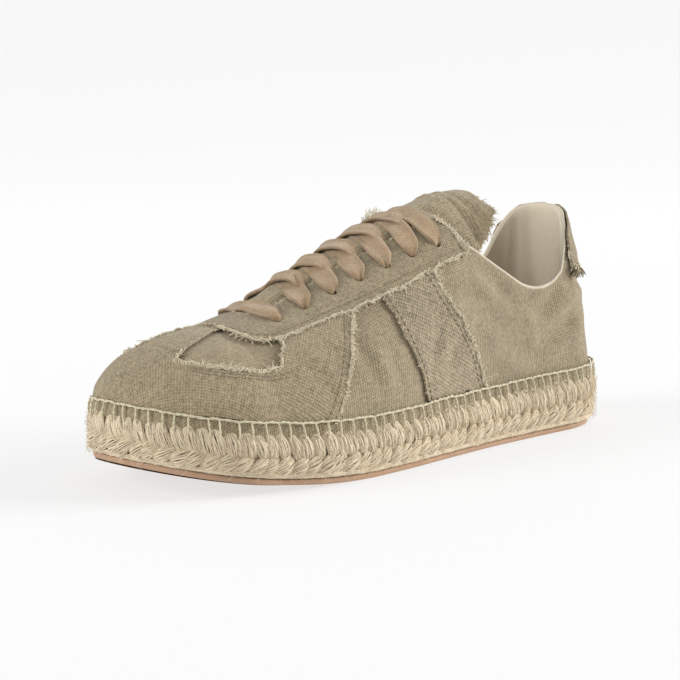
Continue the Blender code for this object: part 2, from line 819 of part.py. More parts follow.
def crossing_route(side, pair):
    """From an eyelet, over the tongue, to the inner edge of the opposite facing."""
    start = Vector((eyelet_station(pair), side * eyelet_girth(pair)))
    end = Vector((eyelet_station(pair + 1), -side * eyelet_girth(pair + 1)))
    stop = throat_half(end.x) - LACE_END_GAP
    share = abs(start.y + side * stop) / abs(start.y - end.y)
    route = []
    for k in range(LACE_STEPS + 1):
        t = k / LACE_STEPS
        place = start.lerp(end, t * share)
        dip = max(0.0, (t - LACE_DIP_START) / (1 - LACE_DIP_START))
        ease = dip * dip * (3 - 2 * dip)
        straight = blend(LACE_OVER, LACE_UNDER, ease)
        route.append((place.x, place.y, max(LACE_UNDER, straight - sag(place.x, place.y))))
    return route


def bar(name, pair):
    """A straight run of lace between the two eyelets of a pair."""
    net = Net()
    station, half = eyelet_station(pair), eyelet_girth(pair)
    route = []
    for k in range(LACE_STEPS + 1):
        girth = half * (1 - 2 * k / LACE_STEPS)
        route.append((station, girth, LACE_OVER - sag(station, girth)))
    ribbon(net, route)
    return net.finish(name, LACE)


def crossing(name, pair):
    """Two ribbons that cross over the tongue, joined where they meet."""
    over, under = Net(), Net()
    ribbon(over, crossing_route(1, pair))
    ribbon(under, crossing_route(-1, pair))
    piece = over.finish(name, LACE)
    other = under.finish(name + "_other", LACE)
    other.hide_render = True
    other.display_type = "WIRE"
    joint = piece.modifiers.new("joined", "BOOLEAN")
    joint.operation = "UNION"
    joint.object = other
    return piece


def punch_eyelets(pieces):
    """Cuts the eyelets through the facings and the canvas behind them."""
    net = Net()
    for pair in range(LACE_PAIRS):
        for side in (1, -1):
            station, girth = eyelet_station(pair), side * eyelet_girth(pair)
            centre, normal = arch_point(station, girth), arch_normal(station, girth)
            along = Vector((1, 0, 0)).cross(normal).normalized()
            across = normal.cross(along)
            rings = []
            for lift in (-EYELET_CUT, EYELET_CUT):
                ring = []
                for j in range(EYELET_SIDES):
                    angle = 2 * math.pi * (j + 0.5) / EYELET_SIDES
                    spoke = along * math.cos(angle) + across * math.sin(angle)
                    ring.append(net.point(centre + normal * lift + spoke * EYELET_RADIUS))
                rings.append(ring)
            net.band(rings[1], rings[0], closed=True)
            net.face(*rings[1])
            net.face(*reversed(rings[0]))
    cutter = net.finish("eyelet_cutter", LACE)
    cutter.hide_render = True
    cutter.display_type = "WIRE"
    for piece in pieces:
        cut = piece.modifiers.new("eyelets", "BOOLEAN")
        cut.operation = "DIFFERENCE"
        cut.object = cutter


SHOE = None


def outline_middle():
    """Middle of the sole's width, which lies over the origin."""
    widths = [column(side, walk)[1].y for side, walk in even_loop(2 * RIBS)]
    return (min(widths) + max(widths)) / 2


def main():
    global SHOE
    for old in list(bpy.data.objects):
        bpy.data.objects.remove(old)
    SHOE = bpy.data.objects.new("shoe", None)
    bpy.context.scene.collection.objects.link(SHOE)
    SHOE.location = (-LENGTH / 2 * MM, -outline_middle() * MM, 0.0)
    outsole()
    jute_midsole()
    insole()
    punched = [upper(), eyestay()]
    toe_overlay()
    side_panel("side_panel_lateral", 1)
    side_panel("side_panel_medial", -1)
    heel_patch()
    tongue()
    bar("lace_bar_bottom", 0)
    bar("lace_bar_top", LACE_PAIRS - 1)
    for pair in range(1, LACE_PAIRS - 1):
        crossing(f"lace_crossing_{pair}", pair)
    punch_eyelets(punched)


main()
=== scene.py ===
"""Low-top espadrille trainer for the left foot, dressed round its packed frame.

Sizes in the tables are millimetres in the shoe's own layout: the station runs from the back of the
heel to the toe, y is positive on the outer (lateral) side, and heights are taken from the floor.
A place on the canvas is given by its side (+1 lateral, -1 medial), its walk round the outline (the
station between the two round ends) and its climb (0 at the sole stitch, 1 at the crown).
"""
import math

import bmesh
import bpy
import numpy as np
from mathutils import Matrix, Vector, kdtree, noise


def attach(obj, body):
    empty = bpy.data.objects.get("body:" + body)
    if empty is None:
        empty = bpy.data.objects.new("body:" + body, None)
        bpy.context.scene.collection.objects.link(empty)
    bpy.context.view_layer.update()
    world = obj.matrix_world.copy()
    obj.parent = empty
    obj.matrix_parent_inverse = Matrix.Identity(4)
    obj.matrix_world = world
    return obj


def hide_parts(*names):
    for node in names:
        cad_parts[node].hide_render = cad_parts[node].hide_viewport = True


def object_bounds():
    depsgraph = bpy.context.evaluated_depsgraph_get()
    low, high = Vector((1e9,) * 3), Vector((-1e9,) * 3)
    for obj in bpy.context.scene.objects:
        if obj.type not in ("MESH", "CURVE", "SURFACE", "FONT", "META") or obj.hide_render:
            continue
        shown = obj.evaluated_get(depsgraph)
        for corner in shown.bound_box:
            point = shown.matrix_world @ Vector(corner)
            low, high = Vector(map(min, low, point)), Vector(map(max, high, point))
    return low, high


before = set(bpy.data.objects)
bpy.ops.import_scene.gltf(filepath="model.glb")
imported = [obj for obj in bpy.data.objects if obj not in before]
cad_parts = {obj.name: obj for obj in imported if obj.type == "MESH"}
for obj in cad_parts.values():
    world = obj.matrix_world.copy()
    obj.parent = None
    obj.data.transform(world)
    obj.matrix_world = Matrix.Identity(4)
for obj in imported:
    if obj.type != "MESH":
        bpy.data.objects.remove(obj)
CAD_BOX = [list(corner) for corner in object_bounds()]

bl_info = {
    "name": "Espadrille trainer",
    "version": (1, 0, 0),
    "blender": (4, 5, 0),
    "location": "View3D > Sidebar > Shoe",
    "description": "Canvas low-top with raw edges on a braided jute sole",
    "category": "Object",
}

MM = 0.001
BODY = "root"
UP = np.array([0.0, 0.0, 1.0])

# ---- outline, as packed ----------------------------------------------------------------------
LENGTH = (CAD_BOX[1][0] - CAD_BOX[0][0]) / MM
HEEL_CORE, TOE_CORE = 36.0, 222.0       # stations of the centres of the round ends
HEEL_ARC, TOE_ARC = 57.0, 76.0          # walk round a quarter of each end
HEEL_SQUARENESS, TOE_SQUARENESS = 2.25, 2.15
TOE_TIP_SHIFT = -5.0
HEEL_WALK, TOE_WALK = HEEL_CORE - HEEL_ARC, TOE_CORE + TOE_ARC
HALF_TURN = TOE_WALK - HEEL_WALK        # walk from the back of the heel to the toe
# station, lateral half width, medial half width of the sole
PLAN = (
    (36.0, 35.5, 34.5),
    (60.0, 36.3, 34.0),
    (90.0, 38.0, 32.5),
    (120.0, 41.3, 32.5),
    (150.0, 45.3, 37.0),
    (175.0, 47.3, 43.0),
    (200.0, 47.0, 47.5),
    (222.0, 42.8, 48.8),
)
SPRING_START, TOE_SPRING = 170.0, 11.5
STITCH_HEEL, STITCH_TOE = 28.5, 24.5    # sole stitch above the bottom of the sole
OUTSOLE_THICK = 2.5
STRIP_HEIGHT = 8.0
PLATEAU_DROP, INSOLE_THICK = 3.5, 2.5
PLATEAU_INSET, INSOLE_INSET = 4.7, 6.9
# walk, height of the crown, roundness of the section
SECTIONS = (
    (-21.0, 147.0, 1.35),
    (36.0, 147.0, 1.35),
    (60.0, 140.0, 1.38),
    (78.0, 126.0, 1.6),
    (96.0, 110.0, 1.95),
    (113.0, 101.0, 2.3),
    (140.0, 90.5, 2.15),
    (170.0, 78.0, 2.05),
    (198.0, 67.5, 1.92),
    (222.0, 61.5, 1.75),
)
# walk, height of the collar's edge
COLLAR = (
    (-21.0, 100.0),
    (-8.0, 99.6),
    (4.0, 98.2),
    (13.0, 95.2),
    (19.0, 91.2),
    (23.0, 87.2),
    (26.5, 82.8),
    (29.5, 78.6),
    (32.5, 75.0),
    (36.6, 71.5),
    (44.0, 67.5),
    (54.0, 66.3),
    (64.5, 68.7),
    (75.0, 74.2),
    (87.6, 82.6),
    (97.0, 88.8),
)
# station, girths from the crown line to the facing's outer edge, its eyelets and its inner edge
FACING = (
    (97.0, 35.7, 27.6, 16.3),
    (115.0, 34.9, 25.7, 13.6),
    (145.0, 33.8, 22.3, 11.2),
    (175.0, 30.4, 19.0, 8.7),
    (200.5, 27.0, 16.6, 6.0),
    (203.0, 26.3, 16.3, 5.5),
)
CORNER_WALK, THROAT_TOP_WALK = 97.0, 105.0
THROAT_ROUND_WALK, THROAT_FRONT_WALK = 203.0, 206.5
UPPER_WALL = 2.2
STITCH_INSET, HEEL_EXTRA_INSET, WALL_STEP = 2.2, 1.0, 1.5


def smooth(rows, x, column=1):
    """Heights at x of a smooth curve through the rows, held level beyond both ends."""
    table = np.array(rows)
    at, height = table[:, 0], table[:, column]
    x = np.clip(x, at[0], at[-1])
    before, after = np.maximum(np.arange(len(at)) - 1, 0), np.minimum(np.arange(len(at)) + 1, len(at) - 1)
    slope = (height[after] - height[before]) / (at[after] - at[before])
    i = np.clip(np.searchsorted(at, x, side="left") - 1, 0, len(at) - 2)
    run = at[i + 1] - at[i]
    t = (x - at[i]) / run
    return ((2 * t**3 - 3 * t**2 + 1) * height[i] + (t**3 - 2 * t**2 + t) * run * slope[i]
            + (3 * t**2 - 2 * t**3) * height[i + 1] + (t**3 - t**2) * run * slope[i + 1])


def blend(a, b, t):
    return a + (b - a) * t


def ease(t):
    """Smooth step from 0 to 1."""
    t = np.clip(t, 0.0, 1.0)
    return t * t * (3 - 2 * t)


def unit(vectors):
    return vectors / np.maximum(np.linalg.norm(vectors, axis=-1, keepdims=True), 1e-9)


def matched(*places):
    """Sides, walks and the like, brought to one shape."""
    return np.broadcast_arrays(*(np.asarray(place, float) for place in places))


def full_turn(count):
    """Angles once round, the first again at the end."""
    return 2 * math.pi * np.arange(count + 1) / count


def distances(points):
    """How far along a row of points each one lies."""
    return np.concatenate([[0], np.cumsum(np.linalg.norm(np.diff(points, axis=0), axis=1))])


def read_along(at, way, values):
    """Rows of values, known at some ways, read at others."""
    return np.stack([np.interp(at, way, column) for column in values.T], -1)


def core_y(station):
    t = (station - HEEL_CORE) / (TOE_CORE - HEEL_CORE)
    return blend((PLAN[0][1] - PLAN[0][2]) / 2, (PLAN[-1][1] - PLAN[-1][2]) / 2, t)


def superellipse(angle, along, across, squareness):
    return (np.abs(np.cos(angle) / along) ** squareness
            + np.abs(np.sin(angle) / across) ** squareness) ** (-1 / squareness)


def column(side, walk):
    """Core points and rim points, as (station, y), of the sections at some walks."""
    side, walk = matched(side, walk)
    station = np.clip(walk, HEEL_CORE, TOE_CORE)
    core = np.stack([station, core_y(station)], -1)
    half = np.where(side > 0, smooth(PLAN, station, 1), smooth(PLAN, station, 2))
    rim = np.stack([station, side * half], -1)
    angle = math.pi / 2 * (walk - HEEL_WALK) / HEEL_ARC
    across = half - side * core[..., 1]
    r = superellipse(angle, HEEL_CORE, across, HEEL_SQUARENESS)
    heel = core + np.stack([-r * np.cos(angle), side * r * np.sin(angle)], -1)
    rim = np.where((walk < HEEL_CORE)[..., None], heel, rim)
    angle = math.pi / 2 * (TOE_WALK - walk) / TOE_ARC
    reach = LENGTH - TOE_CORE
    r = superellipse(angle, reach, across, TOE_SQUARENESS)
    ahead = r * np.cos(angle)
    toe = core + np.stack([ahead, side * r * np.sin(angle) + TOE_TIP_SHIFT * (ahead / reach) ** 2], -1)
    return core, np.where((walk > TOE_CORE)[..., None], toe, rim)


def ground(station):
    t = np.maximum(0.0, (station - SPRING_START) / (LENGTH - SPRING_START))
    return TOE_SPRING * t * t


def stitch_height(station):
    return ground(station) + blend(STITCH_HEEL, STITCH_TOE, station / LENGTH)


def toward_heel(station):
    return np.maximum(0.0, 1.0 - station / HEEL_CORE)


def rim_point(side, walk, inset, height, above=ground):
    """Points inset from the rim, at a height above the sole's bottom or the sole stitch."""
    core, rim = column(side, walk)
    reach = np.linalg.norm(rim - core, axis=-1)
    place = core + (rim - core) * ((reach - inset) / reach)[..., None]
    return np.concatenate([place, (above(rim[..., 0]) + height)[..., None]], -1)


def wall_reach(core, rim):
    """Way from the core line to the rim, and to the foot of the canvas."""
    reach = np.linalg.norm(rim - core, axis=-1)
    return reach, reach - STITCH_INSET - WALL_STEP - HEEL_EXTRA_INSET * toward_heel(rim[..., 0])


def form(side, walk, climb):
    """Outer face of the canvas before its creases."""
    side, walk, climb = matched(side, walk, climb)
    core, rim = column(side, walk)
    reach, span = wall_reach(core, rim)
    foot, crown = stitch_height(rim[..., 0]), smooth(SECTIONS, walk, 1)
    power = 2 / smooth(SECTIONS, walk, 2)
    angle = math.pi / 2 * np.clip(climb, 0.0, 1.0)
    out = np.maximum(0.0, np.cos(angle)) ** power
    place = core + (rim - core) * (span * out / reach)[..., None]
    return np.concatenate([place, (foot + (crown - foot) * np.sin(angle) ** power)[..., None]], -1)


def climb_at_height(side, walk, height):
    _, rim = column(side, walk)
    foot = stitch_height(rim[..., 0])
    up = np.clip((height - foot) / (smooth(SECTIONS, walk, 1) - foot), 0.0, 1.0)
    return np.arcsin(up ** (smooth(SECTIONS, walk, 2) / 2)) * 2 / math.pi


def climb_at_distance(side, walk, distance):
    _, span = wall_reach(*column(side, walk))
    return np.arccos(np.minimum(1.0, distance / span) ** (smooth(SECTIONS, walk, 2) / 2)) * 2 / math.pi


GIRTH_STEPS = 60


def girth_rows(side, walk):
    """Girths from the crown at evenly spaced climbs, crown first, for each walk."""
    climbs = 1 - np.arange(GIRTH_STEPS + 1) / GIRTH_STEPS
    points = form(side[..., None], walk[..., None], climbs)
    steps = np.linalg.norm(np.diff(points, axis=-2), axis=-1)
    return np.concatenate([np.zeros(steps.shape[:-1] + (1,)), np.cumsum(steps, -1)], -1)


def climb_at_girth(side, walk, girth):
    side, walk, girth = matched(side, walk, girth)
    rows = girth_rows(side, walk)
    k = np.clip((rows < girth[..., None]).sum(-1), 1, GIRTH_STEPS)[..., None]
    low, high = np.take_along_axis(rows, k - 1, -1)[..., 0], np.take_along_axis(rows, k, -1)[..., 0]
    share = (k[..., 0] - 1 + (girth - low) / np.maximum(high - low, 1e-6)) / GIRTH_STEPS
    return np.clip(1.0 - share, 0.0, 1.0)


def girth_at(side, walk, climb):
    side, walk, climb = matched(side, walk, climb)
    rows = girth_rows(side, walk)
    step = (1 - climb) * GIRTH_STEPS
    k = np.clip(step.astype(int), 0, GIRTH_STEPS - 1)
    low = np.take_along_axis(rows, k[..., None], -1)[..., 0]
    high = np.take_along_axis(rows, k[..., None] + 1, -1)[..., 0]
    return blend(low, high, step - k)


def throat_half(walk):
    t = np.clip((walk - THROAT_ROUND_WALK) / (THROAT_FRONT_WALK - THROAT_ROUND_WALK), 0.0, 1.0)
    return smooth(FACING, walk, 3) * np.sqrt(1 - t * t)


def edge_climb(side, walk):
    """Climb of the upper's open edge: collar, then throat, then closed over the toes."""
    side, walk = matched(side, walk)
    collar = climb_at_height(side, np.minimum(walk, CORNER_WALK), smooth(COLLAR, walk))
    station = np.clip(walk, THROAT_TOP_WALK, THROAT_FRONT_WALK)
    throat = climb_at_girth(side, station, throat_half(station))
    t = np.clip((walk - CORNER_WALK) / (THROAT_TOP_WALK - CORNER_WALK), 0.0, 1.0)
    return np.where(walk >= THROAT_FRONT_WALK, 1.0, blend(collar, throat, t))


# ---- creases ---------------------------------------------------------------------------------
# Each crease is a soft trough with a low ridge on both sides, between two places on the canvas:
# side, walk and height of its start, walk and height of its end, depth, half width
CREASES = (
    (1, 118.0, 71.0, 56.0, 59.0, 2.2, 4.0),
    (1, 104.0, 62.0, 70.0, 50.0, 2.0, 4.8),
    (1, 92.0, 76.0, 72.0, 64.0, 1.4, 3.2),
    (1, 14.0, 56.0, 54.0, 44.0, 1.9, 3.6),
    (1, 84.0, 44.0, 58.0, 36.0, 1.3, 4.0),
    (1, 42.0, 63.0, 56.0, 52.0, 0.8, 3.4),
    (1, 28.0, 58.0, 38.0, 36.0, 0.6, 4.0),
    (1, 32.0, 66.0, 4.0, 67.0, 1.3, 2.8),
    (1, 8.0, 85.0, -14.0, 80.0, 0.9, 3.0),
    (1, 2.0, 54.0, -14.0, 46.0, 0.9, 3.6),
    (1, 126.0, 62.0, 139.0, 34.0, 0.8, 3.6),
    (1, 112.0, 50.0, 128.0, 40.0, 0.8, 3.2),
    (1, 178.0, 58.0, 168.0, 36.0, 0.9, 3.2),
    (1, 160.0, 50.0, 156.0, 32.0, 0.6, 3.2),
    (1, 204.0, 50.0, 196.0, 34.0, 0.6, 3.0),
    (1, 232.0, 55.0, 248.0, 51.0, 0.7, 2.6),
    (1, 240.0, 44.0, 268.0, 40.0, 0.6, 3.4),
    (-1, 118.0, 68.0, 60.0, 61.0, 1.8, 4.0),
    (-1, 100.0, 60.0, 74.0, 50.0, 1.6, 4.6),
    (-1, 24.0, 58.0, 52.0, 45.0, 1.6, 3.4),
    (-1, 56.0, 62.0, 60.0, 38.0, 1.0, 3.6),
    (-1, 38.0, 60.0, 44.0, 33.0, 0.8, 3.6),
    (-1, 4.0, 58.0, -12.0, 46.0, 0.9, 3.6),
    (-1, 132.0, 56.0, 140.0, 34.0, 0.9, 3.4),
    (-1, 182.0, 55.0, 172.0, 36.0, 1.1, 3.2),
    (-1, 208.0, 50.0, 199.0, 34.0, 0.9, 3.0),
    (-1, 236.0, 54.0, 250.0, 50.0, 0.7, 2.6),
)
CREASE_RIDGE = 0.45
CREASE_START = 12.0                     # walk from the back of the heel over which creases grow
RUMPLE, RUMPLE_SIZE = 0.5, 17.0        # soft unevenness of the washed canvas
STITCH_HOLD = 5.0                       # the sole stitch holds the canvas flat this far up
WALK_STEP, CLIMB_STEP = 0.6, 0.006      # half steps that a normal is taken over
FREE_LOW, FREE_HIGH = 0.012, 0.985      # climbs between which a side has normals of its own
CROWN_START, CROWN_SPAN = 0.97, 0.03    # above this climb both sides' normals grow alike


def rumple(points, size, seed=0.0):
    """Smooth unevenness from -1 to 1 at some points."""
    flat = points.reshape(-1, 3) / size + seed
    return np.array([noise.noise(p) for p in flat]).reshape(points.shape[:-1])


def off_line(x, y, x0, y0, x1, y1):
    """Share of a line at its point nearest to each place, and how far from it the place lies."""
    run, rise = x1 - x0, y1 - y0
    t = np.clip(((x - x0) * run + (y - y0) * rise) / (run * run + rise * rise), 0.0, 1.0)
    return t, np.hypot(x - x0 - t * run, y - y0 - t * rise)


def trough(away, width, ridge):
    """A trough with a low ridge on both sides, at a distance from its line."""
    return ridge * np.exp(-((away - 2 * width) / width) ** 2) - np.exp(-(away / width) ** 2)


def relief(side, walk, points):
    """Height of creases and unevenness over the plain form."""
    height = points[..., 2]
    total = np.zeros(height.shape)
    for row_side, *ends, depth, width in CREASES:
        t, away = off_line(walk, height, *ends)
        fade = 0.35 + 0.65 * np.sin(math.pi * t)
        total += np.where(side == row_side, depth * fade * trough(away, width, CREASE_RIDGE), 0.0)
    total *= ease((walk - HEEL_WALK) / CREASE_START)
    total += RUMPLE * rumple(points, RUMPLE_SIZE) + RUMPLE / 2.5 * rumple(points, RUMPLE_SIZE / 3, 9.0)
    _, rim = column(side, walk)
    return total * ease((height - stitch_height(rim[..., 0])) / STITCH_HOLD)


def form_normal(side, walk, climb):
    """Outward normals of the plain form, the same from both sides along the crown."""
    side, walk, climb = matched(side, walk, climb)

    def normal(side, walk, climb):
        along = form(side, walk + WALK_STEP, climb) - form(side, walk - WALK_STEP, climb)
        up = form(side, walk, climb + CLIMB_STEP) - form(side, walk, climb - CLIMB_STEP)
        return unit(np.cross(up, along) * side[..., None])

    free = normal(side, walk, np.clip(climb, FREE_LOW, FREE_HIGH))
    near = ease((climb - CROWN_START) / CROWN_SPAN)
    if not near.any():
        return free
    high, back = np.full(climb.shape, FREE_HIGH), np.minimum(walk, TOE_CORE)
    crown = unit(normal(side, back, high) + normal(-side, back, high))
    return unit(blend(free, crown, near[..., None]))


def skin(side, walk, climb, lift=0.0):
    """Points and normals of the creased canvas, lifted along its normal."""
    side, walk, climb = matched(side, walk, climb)
    points, normals = form(side, walk, climb), form_normal(side, walk, climb)
    total = relief(side, walk, points) + lift
    return points + normals * total[..., None], normals


def arch(station, girth, lift=0.0):
    """The same by station and girth from the crown line, positive on the outer side."""
    station, girth = matched(station, girth)

    def plain(s, g):
        side = np.where(g >= 0, 1.0, -1.0)
        return form(side, s, climb_at_girth(side, s, np.abs(g)))

    points = plain(station, girth)
    along = plain(station + 1, girth) - plain(station - 1, girth)
    across = plain(station, girth + 1) - plain(station, girth - 1)
    normals = unit(np.cross(along, across))
    total = relief(np.where(girth >= 0, 1.0, -1.0), station, points) + lift
    return points + normals * total[..., None], normals


def weave_place(side, walk, climb):
    """Where a thread of the cloth lies, in millimetres of flat cloth."""
    side, walk, climb = matched(side, walk, climb)
    girth = girth_at(side, walk, climb)
    angle = math.pi / 2 * np.clip((TOE_WALK - walk) / TOE_ARC, 0.0, 1.0)
    toe = np.stack([TOE_CORE + girth * np.cos(angle), side * girth * np.sin(angle)], -1)
    flat = np.stack([walk, side * girth], -1)
    return np.where((walk > TOE_CORE)[..., None], toe, flat)


# ---- meshes ----------------------------------------------------------------------------------
def sole_shift():
    """The sole's place across: its inner rim lies on the low side of the packed box."""
    _, rim = column(-1, np.linspace(HEEL_WALK, TOE_WALK, 2000))
    return CAD_BOX[0][1] / MM - rim[:, 1].min()


ORIGIN = np.array([CAD_BOX[0][0] / MM, sole_shift(), 0.0])
WELD = 0.00002


def placed(name, data):
    """A new object in the scene."""
    piece = bpy.data.objects.new(name, data)
    bpy.context.scene.collection.objects.link(piece)
    return piece


class Net:
    """Collects grids of points in the shoe's millimetres and makes one welded mesh of them."""

    def __init__(self):
        self.points, self.places, self.faces, self.slots, self.count = [], [], [], [], 0

    def grid(self, points, places=None, flip=False, slot=0):
        rows, columns = points.shape[:2]
        index = self.count + np.arange(rows * columns).reshape(rows, columns)
        quads = np.stack([index[:-1, :-1], index[:-1, 1:], index[1:, 1:], index[1:, :-1]], -1)
        quads = quads.reshape(-1, 4)
        if flip:
            quads = quads[:, ::-1]
        if places is None:
            places = np.zeros(points.shape[:2] + (2,))
        self.points.append(points.reshape(-1, 3))
        self.places.append(places.reshape(-1, 2))
        self.faces.append(quads)
        self.slots.append(np.full(len(quads), slot))
        self.count += rows * columns

    def join(self, other):
        """Takes in another net's grids."""
        self.points += other.points
        self.places += other.places
        self.faces += [faces + self.count for faces in other.faces]
        self.slots += other.slots
        self.count += other.count

    def finish(self, name, *finishes):
        points = (np.concatenate(self.points) + ORIGIN) * MM
        faces, places = np.concatenate(self.faces), np.concatenate(self.places)
        mesh = bpy.data.meshes.new(name)
        mesh.from_pydata(points.tolist(), [], faces.tolist())
        layer = mesh.uv_layers.new(name="UVMap")
        layer.data.foreach_set("uv", places[faces.reshape(-1)].reshape(-1))
        mesh.polygons.foreach_set("material_index", np.concatenate(self.slots).astype(np.int32))
        for finish in finishes:
            mesh.materials.append(SHARED[finish])
        piece = placed(name, mesh)
        bm = bmesh.new()
        bm.from_mesh(mesh)
        bmesh.ops.remove_doubles(bm, verts=bm.verts, dist=WELD)
        bm.to_mesh(mesh)
        bm.free()
        mesh.shade_smooth()
        return piece


def ring_caps(net, ring_a, ring_b, slot=0):
    """Closes a tube's two ends with fans to their middles."""
    for ring, flip in ((ring_a, True), (ring_b, False)):
        middle = np.broadcast_to(ring.mean(0), ring.shape)
        net.grid(np.stack([ring, middle]), flip=flip, slot=slot)


def bake(piece):
    """Turns a piece and its modifiers into a plain mesh."""
    bpy.context.view_layer.update()
    evaluated = piece.evaluated_get(bpy.context.evaluated_depsgraph_get())
    mesh = bpy.data.meshes.new_from_object(evaluated)
    old = piece.data
    piece.modifiers.clear()
    piece.data = mesh
    mesh.name = piece.name
    bpy.data.meshes.remove(old)
    return piece


EDGE_REACH = 1.6            # how far in from a raw edge its waver dies away
noise.seed_set(7)           # without it, every run wavers its edges in another way
WAVER_SIZES = ((3.2, 1.0), (9.0, 1.5))


def raw_shift(place, normal, sizes):
    """How far a place on a raw edge has strayed, in millimetres."""
    shake = Vector((0.0, 0.0, 0.0))
    for size, share in WAVER_SIZES:
        shake += share * noise.noise_vector(place / (size * MM))
    shake -= normal * shake.dot(normal)
    up = 0.6 + 0.8 * noise.noise(place / (5.5 * MM) + Vector((0.0, 7.0, 0.0)))
    return shake * sizes.waver + normal * (sizes.curl * up)


def edge_effects(piece, sizes):
    """Wavers and lifts a cloth's open edge."""
    bm = bmesh.new()
    bm.from_mesh(piece.data)
    bm.normal_update()
    border = [v for v in bm.verts if any(e.is_boundary for e in v.link_edges)]
    tree = kdtree.KDTree(len(border))
    for i, v in enumerate(border):
        tree.insert(v.co, i)
    tree.balance()
    moves = []
    for v in bm.verts:
        _, _, away = tree.find(v.co)
        near = math.exp(-away / (EDGE_REACH * MM))
        if near >= 0.02:
            moves.append((v, raw_shift(v.co, v.normal, sizes) * near * MM))
    for v, move in moves:
        v.co += move
    bm.to_mesh(piece.data)
    bm.free()


def thicken(piece, thickness):
    """Gives a sheet its thickness on its inner side."""
    solid = piece.modifiers.new("wall", "SOLIDIFY")
    solid.thickness = thickness * MM
    solid.offset = -1.0
    solid.use_even_offset = False
    return bake(piece)


def dress(piece, nodes=()):
    """Fixes a finished piece to the shoe and gives it its place in the record."""
    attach(piece, BODY)
    if nodes:
        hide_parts(*nodes)


# ---- node helpers ----------------------------------------------------------------------------
SHARED = {}                 # finishes and node trees by name, made by the first step


class Nodes:
    """Short ways to add and link nodes in one tree."""

    def __init__(self, tree):
        self.tree = tree

    def add(self, kind, inputs=None, **settings):
        node = self.tree.nodes.new(kind)
        for key, value in settings.items():
            setattr(node, key, value)
        for key, value in (inputs or {}).items():
            self.feed(node.inputs[key], value)
        return node

    def feed(self, socket, value):
        if isinstance(value, bpy.types.NodeSocket):
            self.tree.links.new(value, socket)
        else:
            socket.default_value = value

    def math(self, operation, *values, clamp=False):
        node = self.tree.nodes.new("ShaderNodeMath")
        node.operation, node.use_clamp = operation, clamp
        for socket, value in zip(node.inputs, values):
            self.feed(socket, value)
        return node.outputs[0]

    def vector(self, operation, *values, scale=None):
        node = self.tree.nodes.new("ShaderNodeVectorMath")
        node.operation = operation
        for socket, value in zip(node.inputs, values):
            self.feed(socket, value)
        if scale is not None:
            self.feed(node.inputs["Scale"], scale)
        return node.outputs["Value" if operation in ("LENGTH", "DOT_PRODUCT") else "Vector"]

    def group(self, tree, **inputs):
        node = self.add("ShaderNodeGroup", node_tree=tree)
        for key, value in inputs.items():
            self.feed(node.inputs[key], value)
        return node

    def times(self, a, b):
        return self.math("MULTIPLY", a, b)

    def plus(self, a, b):
        return self.math("ADD", a, b)

    def shifted(self, place, way, share):
        """The place moved by a share of a way."""
        return self.vector("ADD", place, self.vector("SCALE", way, scale=share))

    def mix(self, factor, a, b):
        return self.add("ShaderNodeMix", {0: factor, 6: a, 7: b}, data_type="RGBA").outputs[2]

    def between(self, factor, a, b):
        """A number between two others."""
        return self.add("ShaderNodeMix", {0: factor, 2: a, 3: b}).outputs[0]

    def store(self, geometry, name, value):
        """Keeps a number on every point of a geometry."""
        return self.add("GeometryNodeStoreNamedAttribute",
                        {"Geometry": geometry, "Name": name, "Value": value},
                        data_type="FLOAT", domain="POINT").outputs[0]

    def noise(self, vector, scale, detail=2.0, roughness=0.5, output="Fac"):
        node = self.add("ShaderNodeTexNoise", {"Vector": vector, "Scale": scale, "Detail": detail,
                                               "Roughness": roughness})
        return node.outputs[output]


def group_tree(name, kind, inputs, outputs):
    """A node group with named sockets, each given as (name, socket type, default)."""
    tree = bpy.data.node_groups.new(name, kind)
    for direction, rows in (("INPUT", inputs), ("OUTPUT", outputs)):
        for label, socket_type, *default in rows:
            socket = tree.interface.new_socket(label, in_out=direction, socket_type=socket_type)
            if default:
                socket.default_value = default[0]
    nodes = Nodes(tree)
    return nodes, nodes.add("NodeGroupInput"), nodes.add("NodeGroupOutput")


# ---- yarns: one tree makes stitches, strands, frays and fuzz -----------------------------------
YARN_INPUTS = (
    ("Geometry", "NodeSocketGeometry"),
    ("Yarns", "NodeSocketInt", 1),
    ("Steps", "NodeSocketInt", 6),
    ("Sides", "NodeSocketInt", 5),
    ("Yarn Radius", "NodeSocketFloat", 0.0003),
    ("Taper", "NodeSocketFloat", 0.0),
    ("Twist", "NodeSocketFloat", 0.0),
    ("Pinch", "NodeSocketFloat", 0.0),
    ("Mess", "NodeSocketFloat", 0.0),
    ("Mess Scale", "NodeSocketFloat", 200.0),
    ("Free Ends", "NodeSocketFloat", 0.0),
    ("Seed", "NodeSocketFloat", 0.0),
    ("Material", "NodeSocketMaterial"),
)


